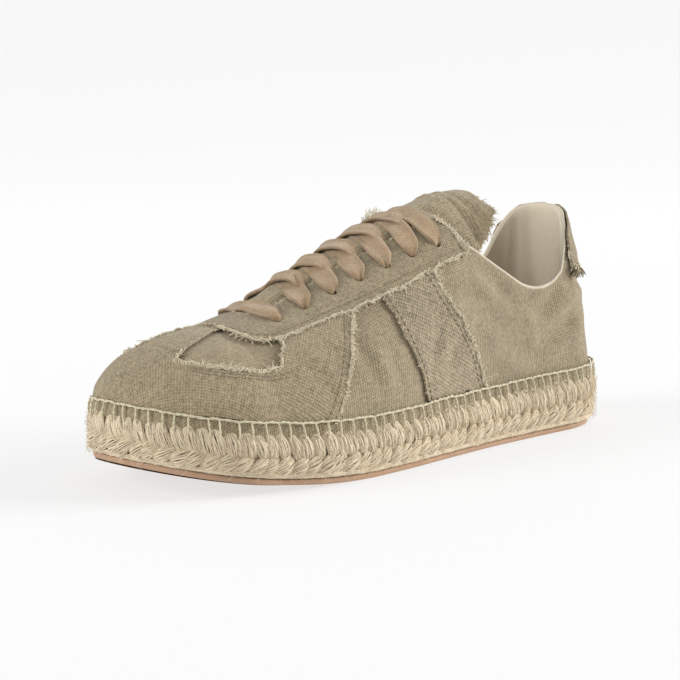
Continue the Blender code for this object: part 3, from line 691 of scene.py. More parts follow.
def yarn_tree():
    """Makes a bundle of yarns at each point, from its tail to its head.

    The points carry tail, head, bow (the bundle's bulge), across and lift (half its width and half
    its thickness), and chance, a random number.
    """
    nodes, given, out = group_tree("yarn_bundles", "GeometryNodeTree", YARN_INPUTS,
                                   (("Geometry", "NodeSocketGeometry"),))
    value = given.outputs
    points = nodes.add("GeometryNodeMeshToPoints", {"Mesh": value["Geometry"]})
    copies = nodes.add("GeometryNodeDuplicateElements",
                       {"Geometry": points.outputs[0], "Amount": value["Yarns"]}, domain="POINT")
    numbered = nodes.store(copies.outputs[0], "yarn", copies.outputs[1])
    line = nodes.add("GeometryNodeCurvePrimitiveLine")
    steps = nodes.add("GeometryNodeResampleCurve", {"Curve": line.outputs[0], "Count": value["Steps"]})
    spread = nodes.add("GeometryNodeInstanceOnPoints", {"Points": numbered, "Instance": steps.outputs[0]})
    curves = nodes.add("GeometryNodeRealizeInstances", {"Geometry": spread.outputs[0]})

    def read(name, kind="FLOAT_VECTOR"):
        return nodes.add("GeometryNodeInputNamedAttribute", {"Name": name}, data_type=kind).outputs[0]

    t = nodes.add("GeometryNodeSplineParameter").outputs["Factor"]
    chance, yarn = read("chance", "FLOAT"), read("yarn", "FLOAT")
    span = nodes.vector("SUBTRACT", read("head"), read("tail"))
    place = nodes.shifted(read("tail"), span, t)
    arc = nodes.times(nodes.times(t, 4.0), nodes.math("SUBTRACT", 1.0, t))
    place = nodes.shifted(place, read("bow"), arc)
    turn = nodes.plus(nodes.math("DIVIDE", yarn, value["Yarns"]), nodes.times(t, value["Twist"]))
    phase = nodes.times(nodes.plus(turn, chance), 2 * math.pi)
    narrow = nodes.between(value["Pinch"], 1.0, nodes.math("SQRT", arc))
    for label, wave in (("across", "COSINE"), ("lift", "SINE")):
        place = nodes.shifted(place, read(label), nodes.times(nodes.math(wave, phase), narrow))
    shuffle = nodes.plus(nodes.times(chance, 50.0), nodes.plus(nodes.times(yarn, 3.7), value["Seed"]))
    wander = nodes.add("ShaderNodeTexNoise", {"Vector": place, "W": shuffle, "Scale": value["Mess Scale"],
                                              "Detail": 1.0}, noise_dimensions="4D").outputs["Color"]
    loose = nodes.times(nodes.between(value["Free Ends"], arc, t), value["Mess"])
    place = nodes.shifted(place, nodes.vector("SUBTRACT", wander, (0.5, 0.5, 0.5)), loose)
    moved = nodes.add("GeometryNodeSetPosition", {"Geometry": curves.outputs[0], "Position": place})
    toned = nodes.store(moved.outputs[0], "tone", nodes.math("FRACT", nodes.times(shuffle, 0.731)))
    thin = nodes.math("SUBTRACT", 1.0, nodes.times(t, value["Taper"]))
    sized = nodes.add("GeometryNodeSetCurveRadius", {"Curve": toned,
                                                     "Radius": nodes.times(thin, value["Yarn Radius"])})
    profile = nodes.add("GeometryNodeCurvePrimitiveCircle", {"Resolution": value["Sides"], "Radius": 1.0})
    radius = nodes.add("GeometryNodeInputRadius").outputs[0]
    tubes = nodes.add("GeometryNodeCurveToMesh", {"Curve": sized.outputs[0], "Scale": radius,
                                                  "Profile Curve": profile.outputs[0],
                                                  "Fill Caps": True})
    soft = nodes.add("GeometryNodeSetShadeSmooth", {"Geometry": tubes.outputs[0]})
    real = nodes.add("GeometryNodeRealizeInstances", {"Geometry": soft.outputs[0]})
    stuff = nodes.add("GeometryNodeSetMaterial",
                      {"Geometry": real.outputs[0], "Material": value["Material"]})
    nodes.feed(out.inputs[0], stuff.outputs[0])
    return nodes.tree


def yarns(name, finish, tails, heads, bows=None, across=None, lift=None, seed=1, **settings):
    """A piece of yarn bundles between tails and heads, which are in the shoe's millimetres."""
    count = len(tails)
    zero = np.zeros((count, 3))
    mesh = bpy.data.meshes.new(name)
    mesh.from_pydata(((tails + ORIGIN) * MM).tolist(), [], [])
    rows = {"tail": tails + ORIGIN, "head": heads + ORIGIN, "bow": zero if bows is None else bows,
            "across": zero if across is None else across, "lift": zero if lift is None else lift}
    for label, values in rows.items():
        attribute = mesh.attributes.new(label, "FLOAT_VECTOR", "POINT")
        attribute.data.foreach_set("vector", (values * MM).astype(np.float32).reshape(-1))
    chance = mesh.attributes.new("chance", "FLOAT", "POINT")
    chance.data.foreach_set("value", np.random.default_rng(seed).random(count).astype(np.float32))
    piece = placed(name, mesh)
    modifier = piece.modifiers.new("yarns", "NODES")
    tree = modifier.node_group = SHARED["yarns"]
    keys = {item.name: item.identifier for item in tree.interface.items_tree if item.in_out == "INPUT"}
    modifier[keys["Material"]] = SHARED[finish]
    modifier[keys["Seed"]] = float(seed)
    for label, value in settings.items():
        modifier[keys[label.replace("_", " ")]] = value
    return bake(piece)


# ---- finishes --------------------------------------------------------------------------------
def weave_group():
    """Plain weave with uneven yarns: Place is in millimetres of flat cloth."""
    nodes, given, out = group_tree("plain_weave", "ShaderNodeTree", (
        ("Place", "NodeSocketVector"),
        ("Pitch", "NodeSocketFloat", 0.7),
        ("Slub", "NodeSocketFloat", 0.6),
    ), (("Height", "NodeSocketFloat"), ("Shade", "NodeSocketFloat")))
    value = given.outputs
    threads = nodes.vector("SCALE", value["Place"], scale=nodes.math("DIVIDE", 1.0, value["Pitch"]))
    split = nodes.add("ShaderNodeSeparateXYZ", {0: threads}).outputs
    wave_x, wave_y = (nodes.math("SINE", nodes.times(axis, math.pi)) for axis in (split[0], split[1]))
    over = nodes.times(nodes.times(wave_x, wave_y), 3.0)
    over = nodes.math("MAXIMUM", nodes.math("MINIMUM", over, 1.0), -1.0)
    warp, weft = (nodes.times(nodes.math("ABSOLUTE", wave), nodes.math("MULTIPLY_ADD", over, rise, 0.6))
                  for wave, rise in ((wave_x, 0.4), (wave_y, -0.4)))
    height = nodes.math("MAXIMUM", warp, weft)
    warp_slub = nodes.noise(nodes.vector("MULTIPLY", threads, (1.0, 0.07, 0.0)), 1.0, 3.0)
    weft_slub = nodes.noise(nodes.vector("MULTIPLY_ADD", threads, (0.07, 1.0, 0.0), (31.0, 7.0, 3.0)),
                            1.0, 3.0)
    yarn = nodes.mix(nodes.math("MULTIPLY_ADD", over, 0.5, 0.5), weft_slub, warp_slub)
    uneven = nodes.times(nodes.math("SUBTRACT", yarn, 0.5), value["Slub"])
    nodes.feed(out.inputs["Height"], nodes.plus(height, uneven))
    # painted shade: the weave's low parts, where one thread dives under the other, are darkened
    shade = nodes.math("MULTIPLY_ADD", nodes.math("SUBTRACT", height, 0.6), 0.75, 0.5)
    nodes.feed(out.inputs["Shade"], nodes.math("MULTIPLY_ADD", uneven, 1.35, shade))
    return nodes.tree


def fibre_group():
    """Streaks along a yarn and its own tone, for rope, thread and loose ends."""
    nodes, given, out = group_tree("yarn_fibres", "ShaderNodeTree", (
        ("Place", "NodeSocketVector"),
        ("Scale", "NodeSocketFloat", 900.0),
        ("Tone", "NodeSocketFloat", 0.5),
    ), (("Height", "NodeSocketFloat"), ("Shade", "NodeSocketFloat")))
    value = given.outputs
    fine = nodes.noise(value["Place"], value["Scale"], 4.0, 0.6)
    broad = nodes.noise(value["Place"], 140.0, 2.0)
    nodes.feed(out.inputs["Height"], fine)
    mixed = nodes.plus(nodes.times(fine, 0.45), nodes.times(broad, 0.35))
    nodes.feed(out.inputs["Shade"], nodes.math("MULTIPLY_ADD", value["Tone"], 0.35, mixed))
    return nodes.tree


def new_material(name, roughness, sheen=0.0):
    material = bpy.data.materials.new(name)
    material.use_nodes = True
    nodes = Nodes(material.node_tree)
    shader = material.node_tree.nodes["Principled BSDF"]
    shader.inputs["Roughness"].default_value = roughness
    shader.inputs["Specular IOR Level"].default_value = 0.25
    if sheen:
        shader.inputs["Sheen Weight"].default_value = sheen
        shader.inputs["Sheen Roughness"].default_value = 0.55
    return material, nodes, shader


def surface(nodes, shader, colour, shade, dark, light, height, depth, strength):
    """Feeds a shader its colour, darkened and lightened by a shade from 0 to 1, and its bumps."""
    low = tuple(c * dark for c in colour) + (1.0,)
    high = tuple(min(1.0, c * light) for c in colour) + (1.0,)
    nodes.feed(shader.inputs["Base Color"], nodes.mix(shade, low, high))
    bump = nodes.add("ShaderNodeBump", {"Height": height, "Distance": depth * MM, "Strength": strength})
    nodes.feed(shader.inputs["Normal"], bump.outputs[0])


def cloth_finish(name, colour, pitch=1.2, turn=0.0, slub=0.9, depth=0.3, dark=0.5, light=1.5,
                 sheen=0.2, grain=1.3):
    """Woven cotton whose threads follow the piece's own flat places."""
    material, nodes, shader = new_material(name, 0.93, sheen)
    flat = nodes.add("ShaderNodeUVMap", uv_map="UVMap").outputs[0]
    turned = nodes.add("ShaderNodeMapping", {"Vector": flat, "Rotation": (0.0, 0.0, turn)}).outputs[0]
    solid = nodes.add("ShaderNodeTexCoord").outputs["Object"]
    waver = nodes.noise(solid, 55.0, 2.0, output="Color")
    weave = nodes.group(SHARED["weave"], Place=nodes.shifted(turned, waver, 1.5), Pitch=pitch, Slub=slub)
    cloud = nodes.noise(solid, 38.0, 4.0, 0.6)
    speck = nodes.noise(solid, 620.0, 3.0, 0.7)
    # the weave's Shade brings painted shade between the threads, with the yarns' own uneven tone
    shade = nodes.plus(nodes.times(weave.outputs["Shade"], 0.62), nodes.times(cloud, 0.38))
    shade = nodes.math("ADD", shade, nodes.math("MULTIPLY_ADD", speck, grain, -grain / 2), clamp=True)
    surface(nodes, shader, colour, shade, dark, light, weave.outputs["Height"], depth, 0.9)
    return material


def yarn_finish(name, colour, scale=900.0, dark=0.6, light=1.3, sheen=0.1, depth=0.15):
    """Spun fibres, each yarn with its own tone."""
    material, nodes, shader = new_material(name, 0.9, sheen)
    solid = nodes.add("ShaderNodeTexCoord").outputs["Object"]
    tone = nodes.add("ShaderNodeAttribute", attribute_name="tone").outputs["Fac"]
    fibres = nodes.group(SHARED["fibres"], Place=solid, Scale=scale, Tone=tone)
    surface(nodes, shader, colour, fibres.outputs["Shade"], dark, light, fibres.outputs["Height"],
            depth, 0.8)
    return material


def rubber_finish(name, colour):
    """Thin rubber with a fine grain, rubbed paler in patches."""
    material, nodes, shader = new_material(name, 0.75)
    solid = nodes.add("ShaderNodeTexCoord").outputs["Object"]
    grain = nodes.noise(solid, 1300.0, 3.0)
    rub = nodes.noise(solid, 45.0, 3.0, 0.6)
    shade = nodes.plus(nodes.times(grain, 0.4), nodes.times(rub, 0.6))
    surface(nodes, shader, colour, shade, 0.75, 1.25, grain, 0.1, 0.5)
    return material


def make_finishes(colours):
    """Makes the materials and the shared node trees."""
    SHARED["weave"], SHARED["fibres"] = weave_group(), fibre_group()
    SHARED["yarns"] = yarn_tree()
    SHARED.update(
        canvas=cloth_finish("canvas", colours.canvas),
        overlay=cloth_finish("overlay_canvas", tuple(c * 0.92 for c in colours.canvas),
                             turn=math.radians(8), grain=1.7),
        panel=cloth_finish("panel_canvas", colours.panel, 1.35, math.radians(38), 1.1, 0.36, grain=1.8),
        toe=cloth_finish("toe_canvas", colours.canvas, turn=math.radians(45), grain=1.6),
        lining=cloth_finish("lining_twill", colours.lining, 0.9, math.radians(45), 0.5, 0.08, 0.84,
                            1.12, grain=0.6),
        binding=cloth_finish("binding_tape", colours.binding, 0.6, 0.0, 0.3, 0.05, 0.88, 1.1,
                             grain=0.4),
        lace=cloth_finish("lace_cotton", colours.lace, 0.8, math.radians(45), 0.9, 0.14, 0.62, 1.32,
                          0.3, 1.0),
        jute=yarn_finish("jute_strands", colours.jute, 700.0, 0.62, 1.3),
        core=yarn_finish("jute_filling", tuple(c * 0.86 for c in colours.jute), 500.0),
        stitch=yarn_finish("sole_thread", colours.stitch, 1100.0, 0.78, 1.15, 0.2, 0.08),
        loose=yarn_finish("loose_ends", colours.loose, 1100.0, 0.72, 1.2, 0.2, 0.05),
        bleached=yarn_finish("bleached_ends", colours.bleached, 1100.0, 0.82, 1.1, 0.2, 0.05),
        # a real thread, darker than the canvas; its dark also stands in for painted shade of the stitch
        # holes
        seam=yarn_finish("seam_thread", colours.seam, 1100.0, 0.7, 1.2, 0.1, 0.05),
        rubber=rubber_finish("tan_rubber", colours.rubber),
    )


# ---- sole ------------------------------------------------------------------------------------
def around(turn):
    """Side and walk at a way round the outline, which starts and ends at the back of the heel."""
    side = np.where(turn <= HALF_TURN, 1.0, -1.0)
    return side, np.where(turn <= HALF_TURN, HEEL_WALK + turn, HEEL_WALK + 2 * HALF_TURN - turn)


def round_loop(count):
    """Sides and walks once round the whole outline, the first place again at the end."""
    return around(2 * HALF_TURN * np.arange(count + 1) / count)


def sole_rings(net, rows, count, floor_cap, top_cap, above=ground):
    """Rings of a sole layer, given as its rows of (inset, height, share), with caps to the core line."""
    side, walk = round_loop(count)
    core, rim = column(side, walk)
    heel = HEEL_EXTRA_INSET * toward_heel(rim[..., 0])
    rings = [rim_point(side, walk, inset + heel * extra, height, above)
             for inset, height, extra in rows]
    grid = np.stack(rings)
    places = np.stack(np.broadcast_arrays(distances(rim)[None], distances(grid[:, 0])[:, None]), -1)
    net.grid(grid, places, flip=True)
    for ring, wanted, flip in ((rings[0], floor_cap, False), (rings[-1], top_cap, True)):
        if not wanted:
            continue
        centre = np.concatenate([core, ring[:, 2:]], -1)
        centre[:, 2] = above(core[:, 0]) + (ring[:, 2] - above(rim[:, 0]))
        share = np.linspace(0, 1, 7)[:, None, None]
        cap = blend(ring[None], centre[None], share)
        cap[..., 2] = above(cap[..., 0]) + (ring[:, 2] - above(rim[:, 0]))[None]
        net.grid(cap, cap[..., :2], flip=flip)


class RimWalk:
    """Places round the sole's rim by the true distance from the back of the heel."""

    def __init__(self):
        self.side, self.walk = round_loop(RIM_COLUMNS)
        self.way = distances(column(self.side, self.walk)[1])
        self.total = self.way[-1]
        self.turn = np.where(self.side > 0, self.walk - HEEL_WALK, 2 * HALF_TURN - self.walk + HEEL_WALK)
        self.turn[-1] = 2 * HALF_TURN

    def at(self, way):
        return around(np.interp(np.mod(way, self.total), self.way, self.turn))

    def point(self, way, inset, height, above=ground):
        side, walk = self.at(way)
        _, rim = column(side, walk)
        return rim_point(side, walk, inset + HEEL_EXTRA_INSET * toward_heel(rim[..., 0]), height, above)

    def outward(self, way):
        """Level directions out of the sole and along its rim."""
        ahead = self.point(way + 0.5, 0.0, 0.0) - self.point(way - 0.5, 0.0, 0.0)
        return unit(np.cross(UP, ahead)), unit(ahead)

    def spaced(self, pitch, jitter, seed):
        count = int(round(self.total / pitch))
        shake = np.random.default_rng(seed).uniform(-jitter, jitter, count)
        return (np.arange(count) + shake) * self.total / count


STRIP_SHOWS = 5.6           # canvas that shows below the sole stitch, above the jute
JUTE_FOOT = OUTSOLE_THICK + 0.1
COURSE_SPLIT = 0.49         # the two courses meet at this share of the jute's height
SOLE_COLUMNS, INSOLE_COLUMNS, RIM_COLUMNS = 420, 300, 2600
# the sole's layers: inset from the rim, height, share of the heel's extra inset
OUTSOLE_ROWS = (
    (3.0, 0.0, 3.0),
    (2.5, 0.35, 3.0),
    (2.3, 1.2, 3.0),
    (2.4, 2.1, 3.0),
    (2.9, 2.5, 3.0),
)
JUTE_WALL = (
    (5.6, 2.8, 0.0),
    (3.6, 3.0, 0.0),
    (2.5, 5.0, 0.0),
    (2.1, 7.5, 0.0),
    (3.0, 10.0, 0.0),
    (2.2, 12.5, 0.0),
    (2.8, 15.0, 0.3),
    (3.8, 16.2, 0.6),
)
# the same above the wall, with heights from the sole stitch
JUTE_DECK = (
    (3.8, -9.4, 0.6),
    (3.8, -7.0, 1.0),
    (4.7, -5.4, 1.0),
    (PLATEAU_INSET, -PLATEAU_DROP, 1.0),
)
FOOT_INSET, FOOT_HEIGHT, FOOT_REACH = 2.2, 4.1, 13.0    # rope along the foot of the jute


def course_height(way, rim, share):
    """Height above the sole's bottom at a share of the jute's visible wall."""
    side, walk = rim.at(way)
    _, edge = column(side, walk)
    top = stitch_height(edge[..., 0]) - ground(edge[..., 0]) - STRIP_SHOWS
    return blend(JUTE_FOOT, top, share)


def strand_course(name, rim, ways, tail_row, head_row, bulge, shape, seed, sizes, **settings):
    """A course of soft bundles, whose tails and heads are given as (lean, share of height, inset).

    The shape is the bundle's half width and half thickness.
    """
    rng = np.random.default_rng(seed)
    ends = []
    for lean, share, inset in (tail_row, head_row):
        way = ways + lean + rng.normal(0, 0.35, len(ways))
        height = course_height(way, rim, share + rng.normal(0, 0.02, len(ways)))
        ends.append(rim.point(way, inset, height))
    tails, heads = ends
    out, _ = rim.outward(ways)
    fat = rng.uniform(0.88, 1.12, (len(ways), 1))
    across = unit(np.cross(out, heads - tails)) * shape[0] * fat
    return yarns(name, "jute", tails, heads, out * bulge * fat, across, out * shape[1], seed, Sides=4,
                 Yarn_Radius=sizes.yarn_width / 2, **settings)


def build_outsole():
    """Builds the thin rubber sole."""
    net = Net()
    sole_rings(net, OUTSOLE_ROWS, SOLE_COLUMNS, True, True)
    piece = net.finish("outsole_sheet", "rubber")
    dress(piece, ["outsole"])


def build_jute(sizes):
    """Builds the jute filling, its two strand courses and its fuzz."""
    rim = RimWalk()
    net = Net()
    sole_rings(net, JUTE_WALL, SOLE_COLUMNS, True, False)
    deck = Net()
    sole_rings(deck, JUTE_DECK, SOLE_COLUMNS, False, True, stitch_height)
    net.join(deck)
    side, walk = round_loop(SOLE_COLUMNS)
    inset, wall_top, extra = JUTE_WALL[-1]
    inset = inset + extra * HEEL_EXTRA_INSET * toward_heel(column(side, walk)[1][..., 0])
    net.grid(np.stack([rim_point(side, walk, inset, wall_top),
                       rim_point(side, walk, inset, JUTE_DECK[0][1], stitch_height)]), flip=True)
    core = net.finish("jute_filling", "core")
    dress(core, ["jute_midsole"])
    lower = strand_course(
        "jute_lower_course", rim, rim.spaced(sizes.lower_pitch, 0.14, 3), (5.4, 0.09, 3.0),
        (-5.0, COURSE_SPLIT + 0.07, 3.3), 2.2, (2.7, 0.9), 5, sizes, Yarns=sizes.strand_yarns,
        Steps=9, Twist=0.16, Pinch=0.6, Mess=0.0017, Mess_Scale=210.0)
    upper = strand_course(
        "jute_upper_course", rim, rim.spaced(sizes.upper_pitch, 0.1, 4),
        (-2.9, COURSE_SPLIT - 0.05, 3.2), (2.4, 1.04, 3.0), 2.1, (2.4, 0.9), 7, sizes,
        Yarns=sizes.strand_yarns, Steps=9, Twist=0.14, Pinch=0.25, Mess=0.0015, Mess_Scale=210.0)
    ways = rim.spaced(5.0, 0.2, 6)
    out, _ = rim.outward(ways)
    tails = rim.point(ways, FOOT_INSET, FOOT_HEIGHT)
    heads = rim.point(ways + FOOT_REACH, FOOT_INSET, FOOT_HEIGHT)
    foot = yarns("jute_foot_rope", "jute", tails, heads, out * 0.4,
                 UP * 0.8 + out * 0.0, out * 0.7, 8, Yarns=8, Steps=9, Sides=4,
                 Yarn_Radius=sizes.yarn_width / 2, Twist=0.4, Mess=0.0010, Mess_Scale=210.0)
    for piece in (foot, lower, upper):
        dress(piece)
    build_fuzz(rim, sizes)


def build_fuzz(rim, sizes):
    """Stray fibres that stand off the strands."""
    rng = np.random.default_rng(21)
    count = sizes.stray_fibres
    ways, share = rng.uniform(0, rim.total, count), rng.uniform(0.02, 0.98, count)
    out, ahead = rim.outward(ways)
    tails = rim.point(ways, 1.0, course_height(ways, rim, share))
    reach = rng.uniform(-4.5, 4.5, (count, 1))
    rise = rng.uniform(-3.5, 3.0, (count, 1)) * UP
    heads = tails + ahead * reach + rise + out * rng.uniform(0.5, 1.9, (count, 1))
    piece = yarns("jute_stray_fibres", "jute", tails, heads, out * 0.8,
                  seed=22, Yarns=1, Steps=7, Sides=3, Yarn_Radius=0.00009, Taper=0.5, Mess=0.0022,
                  Mess_Scale=260.0, Free_Ends=1.0)
    dress(piece)


def build_sole_stitch(sizes):
    """Builds the blanket stitch: a cord along the seam, pulled down by uprights."""
    rim = RimWalk()
    ways = rim.spaced(sizes.upright_pitch, 0.16, 31)
    rng = np.random.default_rng(32)
    out, ahead = rim.outward(ways)
    tops = rim.point(ways, 1.55, rng.uniform(-0.35, 0.15, len(ways)), stitch_height)
    ends = ways + rng.uniform(-1.1, 0.5, len(ways))
    drop = -STRIP_SHOWS - rng.uniform(0.6, 2.0, len(ways))
    bottoms = rim.point(ends, 0.75, drop, stitch_height)
    uprights = yarns("sole_stitch_uprights", "stitch", tops, bottoms,
                     out * 0.55, ahead * 0.2, out * 0.2, 33, Yarns=2, Steps=9, Sides=6,
                     Yarn_Radius=sizes.cord_width * 0.27, Twist=1.6, Mess=0.0007, Mess_Scale=180.0)
    dress(uprights)
    after = np.roll(tops, -1, axis=0)
    lift = UP * rng.uniform(0.0, 0.45, (len(ways), 1))
    cord = yarns("sole_stitch_cord", "stitch", tops, after,
                 lift + out * 0.15, UP * 0.24 + out * 0.0, out * 0.24, 34, Yarns=2,
                 Steps=10, Sides=6, Yarn_Radius=sizes.cord_width * 0.3, Twist=1.0, Mess=0.0002)
    dress(cord)


def build_insole():
    """Builds the insole."""
    net = Net()
    base = 0.3 - PLATEAU_DROP
    top = base + INSOLE_THICK
    rows = ((INSOLE_INSET + 0.3, base, 1.0), (INSOLE_INSET, base + 0.6, 1.0),
            (INSOLE_INSET, top - 0.7, 1.0), (INSOLE_INSET + 0.7, top, 1.0))
    sole_rings(net, rows, INSOLE_COLUMNS, True, True, stitch_height)
    piece = net.finish("insole_cloth", "lining")
    dress(piece, ["insole"])


# ---- upper -----------------------------------------------------------------------------------
# side, walk, depth and half width of the lining's soft upright folds
LINING_FOLDS = (
    (1, -6.0, -0.9, 5.0),
    (1, 6.0, 1.6, 4.2),
    (1, 22.0, -0.7, 4.2),
    (1, 52.0, 0.5, 5.0),
    (-1, 2.0, 0.8, 4.4),
    (-1, 14.0, 0.9, 3.6),
    (-1, 27.0, -0.6, 3.8),
    (-1, 40.0, 1.0, 5.0),
    (-1, 58.0, 0.6, 4.6),
)
OUTER_ROWS, INNER_ROWS, STRIP_ROWS, RIM_ROWS = 58, 26, 9, 5
SHELL, LINED = 0, 1
ROW_SPREAD = 0.92           # below 1, the rows lie closer together towards the open edge
STRIP_FOOT_INSET, STRIP_PUFF = 2.1, 0.45
STRIP_WEAVE = 0.9           # flat cloth between two rows of the strip
SEAT_INSET = 3.4            # where the lining turns under, from the rim
EYELET_SIDES, EYELET_CUT = 20, 6.0


def upper_columns():
    """Sides and walks of the upper's columns, once round from the back of the heel."""
    spans = ((HEEL_WALK, CORNER_WALK, 96), (CORNER_WALK, THROAT_TOP_WALK, 8),
             (THROAT_TOP_WALK, THROAT_ROUND_WALK, 82), (THROAT_ROUND_WALK, THROAT_FRONT_WALK, 7),
             (THROAT_FRONT_WALK, TOE_CORE, 13), (TOE_CORE, TOE_WALK, 66))
    walks = np.concatenate([np.linspace(a, b, n, endpoint=False) for a, b, n in spans] + [[TOE_WALK]])
    side = np.concatenate([np.ones(len(walks)), -np.ones(len(walks) - 1)])
    return side, np.concatenate([walks, walks[-2::-1]])


def lining_fold(side, walk, share):
    total = np.zeros(np.broadcast(side, walk, share).shape)
    for row_side, at, depth, width in LINING_FOLDS:
        bump = depth * np.exp(-((walk - at) / width) ** 2) * np.sin(math.pi * np.clip(share, 0, 1))
        total += np.where(side == row_side, bump, 0.0)
    return total


def strip_rows(side, walk, heel):
    """Rows of the canvas strip below the sole stitch, from its foot up."""
    rows = []
    for k in range(STRIP_ROWS):
        t = k / (STRIP_ROWS - 1)
        puff = STRIP_PUFF * math.sin(math.pi * min(1.0, t * 1.15)) ** 0.7
        drop = blend(STRIP_HEIGHT, 0.0, t)
        inset = blend(STRIP_FOOT_INSET, STITCH_INSET + 0.5, t) - puff
        rows.append(rim_point(side, walk, inset + heel, -drop, stitch_height))
    return rows + [rim_point(side, walk, STITCH_INSET + 0.9 + heel, 0.3, stitch_height)]


def edge_rows(side, walk, edge):
    """Rows over the wall's open edge, from the outer face to the lining."""
    top, normals = skin(side, walk, edge)
    rows = [top]
    for k in range(1, RIM_ROWS):
        angle = math.pi * k / RIM_ROWS
        rise = UP * 0.5 * math.sin(angle) * (edge < 1.0)[:, None]
        rows.append(top - normals * UPPER_WALL * (1 - math.cos(angle)) / 2 + rise)
    return rows


def lining_rows(side, walk, heel, edge):
    """Rows of the lining, from the open edge down and round to the strip's foot."""
    rows = []
    for k in range(INNER_ROWS + 1):
        share = 1 - k / INNER_ROWS
        fold = lining_fold(side, walk, share)
        rows.append(skin(side, walk, edge * share, -UPPER_WALL - fold)[0])
    for inset, height in ((STITCH_INSET + WALL_STEP + UPPER_WALL, -2.4), (SEAT_INSET, -3.0),
                          (SEAT_INSET, -STRIP_HEIGHT + 0.2)):
        rows.append(rim_point(side, walk, inset + heel, height, stitch_height))
    return rows


def build_upper():
    """Builds the canvas upper with its lining and eyelets."""
    side, walk = upper_columns()
    _, rim = column(side, walk)
    heel = HEEL_EXTRA_INSET * toward_heel(rim[..., 0])
    edge = edge_climb(side, walk)
    net = Net()

    strip = strip_rows(side, walk, heel)
    climbs = [edge * (k / OUTER_ROWS) ** ROW_SPREAD for k in range(OUTER_ROWS + 1)]
    outer = np.stack(strip + [skin(side, walk, climb)[0] for climb in climbs])
    flat = weave_place(side[None], walk[None], np.stack(climbs))
    below = np.stack([flat[0] + np.stack([0 * side, side * (len(strip) - k) * STRIP_WEAVE], -1)
                      for k in range(len(strip))])
    net.grid(outer, np.concatenate([below, flat]), flip=True, slot=SHELL)

    inner = lining_rows(side, walk, heel, edge)
    lining = np.stack(inner + [outer[0]])
    shares = 1 - np.arange(INNER_ROWS + 1) / INNER_ROWS
    shares = np.concatenate([shares, np.zeros(len(lining) - len(shares))])
    places = weave_place(side[None], walk[None], edge[None] * shares[:, None])
    net.grid(lining, places, flip=True, slot=LINED)
    rolled = np.stack(edge_rows(side, walk, edge) + [inner[0]])
    closed = np.flatnonzero(walk >= THROAT_FRONT_WALK)
    for part in (slice(0, closed[0] + 1), slice(closed[-1], None)):
        net.grid(rolled[:, part], np.broadcast_to(places[:1, part], rolled[:, part, :2].shape),
                 flip=True, slot=LINED)
    piece = net.finish("upper_shell", "canvas", "lining")
    punch(piece)
    dress(piece, ["upper"])


def punch(piece):
    """Cuts the fourteen eyelets."""
    net = Net()
    for pair in range(LACE_PAIRS):
        for side in (1, -1):
            centre, normal = arch(eyelet_station(pair), side * eyelet_girth(pair))
            along = unit(np.cross((1.0, 0.0, 0.0), normal))
            across = np.cross(normal, along)
            angle = full_turn(EYELET_SIDES)
            circle = (along * np.cos(angle)[:, None] + across * np.sin(angle)[:, None]) * EYELET_RADIUS
            rings = np.stack([centre + circle - normal * EYELET_CUT, centre + circle + normal * EYELET_CUT])
            net.grid(rings, flip=True)
            ring_caps(net, rings[0], rings[1])
    cutter = net.finish("eyelet_cutter")
    face_outwards(cutter)
    cut = piece.modifiers.new("eyelets", "BOOLEAN")
    cut.operation, cut.object = "DIFFERENCE", cutter
    bake(piece)
    bpy.data.objects.remove(cutter)


COLLAR_COLUMNS, BINDING_SIDES = 210, 16
BINDING_HALF, BINDING_TALL = UPPER_WALL / 2 - 0.1, 0.8


def collar_path():
    """The collar's edge from the lateral facing round the heel to the medial one."""
    end = THROAT_TOP_WALK - 1.5
    walks = np.concatenate([np.linspace(end, HEEL_WALK, COLLAR_COLUMNS),
                            np.linspace(HEEL_WALK, end, COLLAR_COLUMNS)[1:]])
    sides = np.concatenate([np.ones(COLLAR_COLUMNS), -np.ones(COLLAR_COLUMNS - 1)])
    return skin(sides, walks, edge_climb(sides, walks), -UPPER_WALL / 2)


def squared(wave, power):
    """A sine or cosine with its crests flattened by a power below 1."""
    return np.sign(wave) * np.abs(wave) ** power


def build_binding():
    """Builds the pale tape folded over the collar's edge."""
    points, normals = collar_path()
    ahead = unit(np.gradient(points, axis=0))
    up = unit(np.cross(normals, ahead))
    up *= np.sign(up[:, 2:])
    angle = full_turn(BINDING_SIDES)
    section_x = squared(np.cos(angle), 0.7) * BINDING_HALF
    section_y = squared(np.sin(angle), 0.8) * BINDING_TALL
    rings = (points[None] + normals[None] * (section_x[:, None, None] + 0.3)
             + up[None] * (section_y[:, None, None] - 0.2))
    net = Net()
    places = np.stack(np.broadcast_arrays(distances(points)[None], (angle * 1.3)[:, None]), -1)
    net.grid(rings, places)
    ring_caps(net, rings[:, 0], rings[:, -1])
    piece = net.finish("collar_binding", "binding")
    face_outwards(piece)
    dress(piece)


def face_outwards(piece):
    """Turns a closed mesh's faces outwards."""
    bm = bmesh.new()
    bm.from_mesh(piece.data)
    bmesh.ops.recalc_face_normals(bm, faces=bm.faces)
    bm.to_mesh(piece.data)
    bm.free()


# ---- overlays --------------------------------------------------------------------------------
OVERLAY_LIFT, OVERLAY_THICK = 1.3, 0.9    # outer face over the canvas, and the cloth's thickness
EDGE_GAP = 0.6
WINDOW_REAR, WINDOW_FRONT = 234.5, 275.0
GUARD_LOW, GUARD_HIGH = 0.40, 0.465
BRIDGE_REAR, BRIDGE_HALF, BRIDGE_WIDEST, BRIDGE_SLANT = 222.0, 5.6, 26.0, 0.27
SEAM_FOOT, SEAM_LEAN = 197.5, 47.0
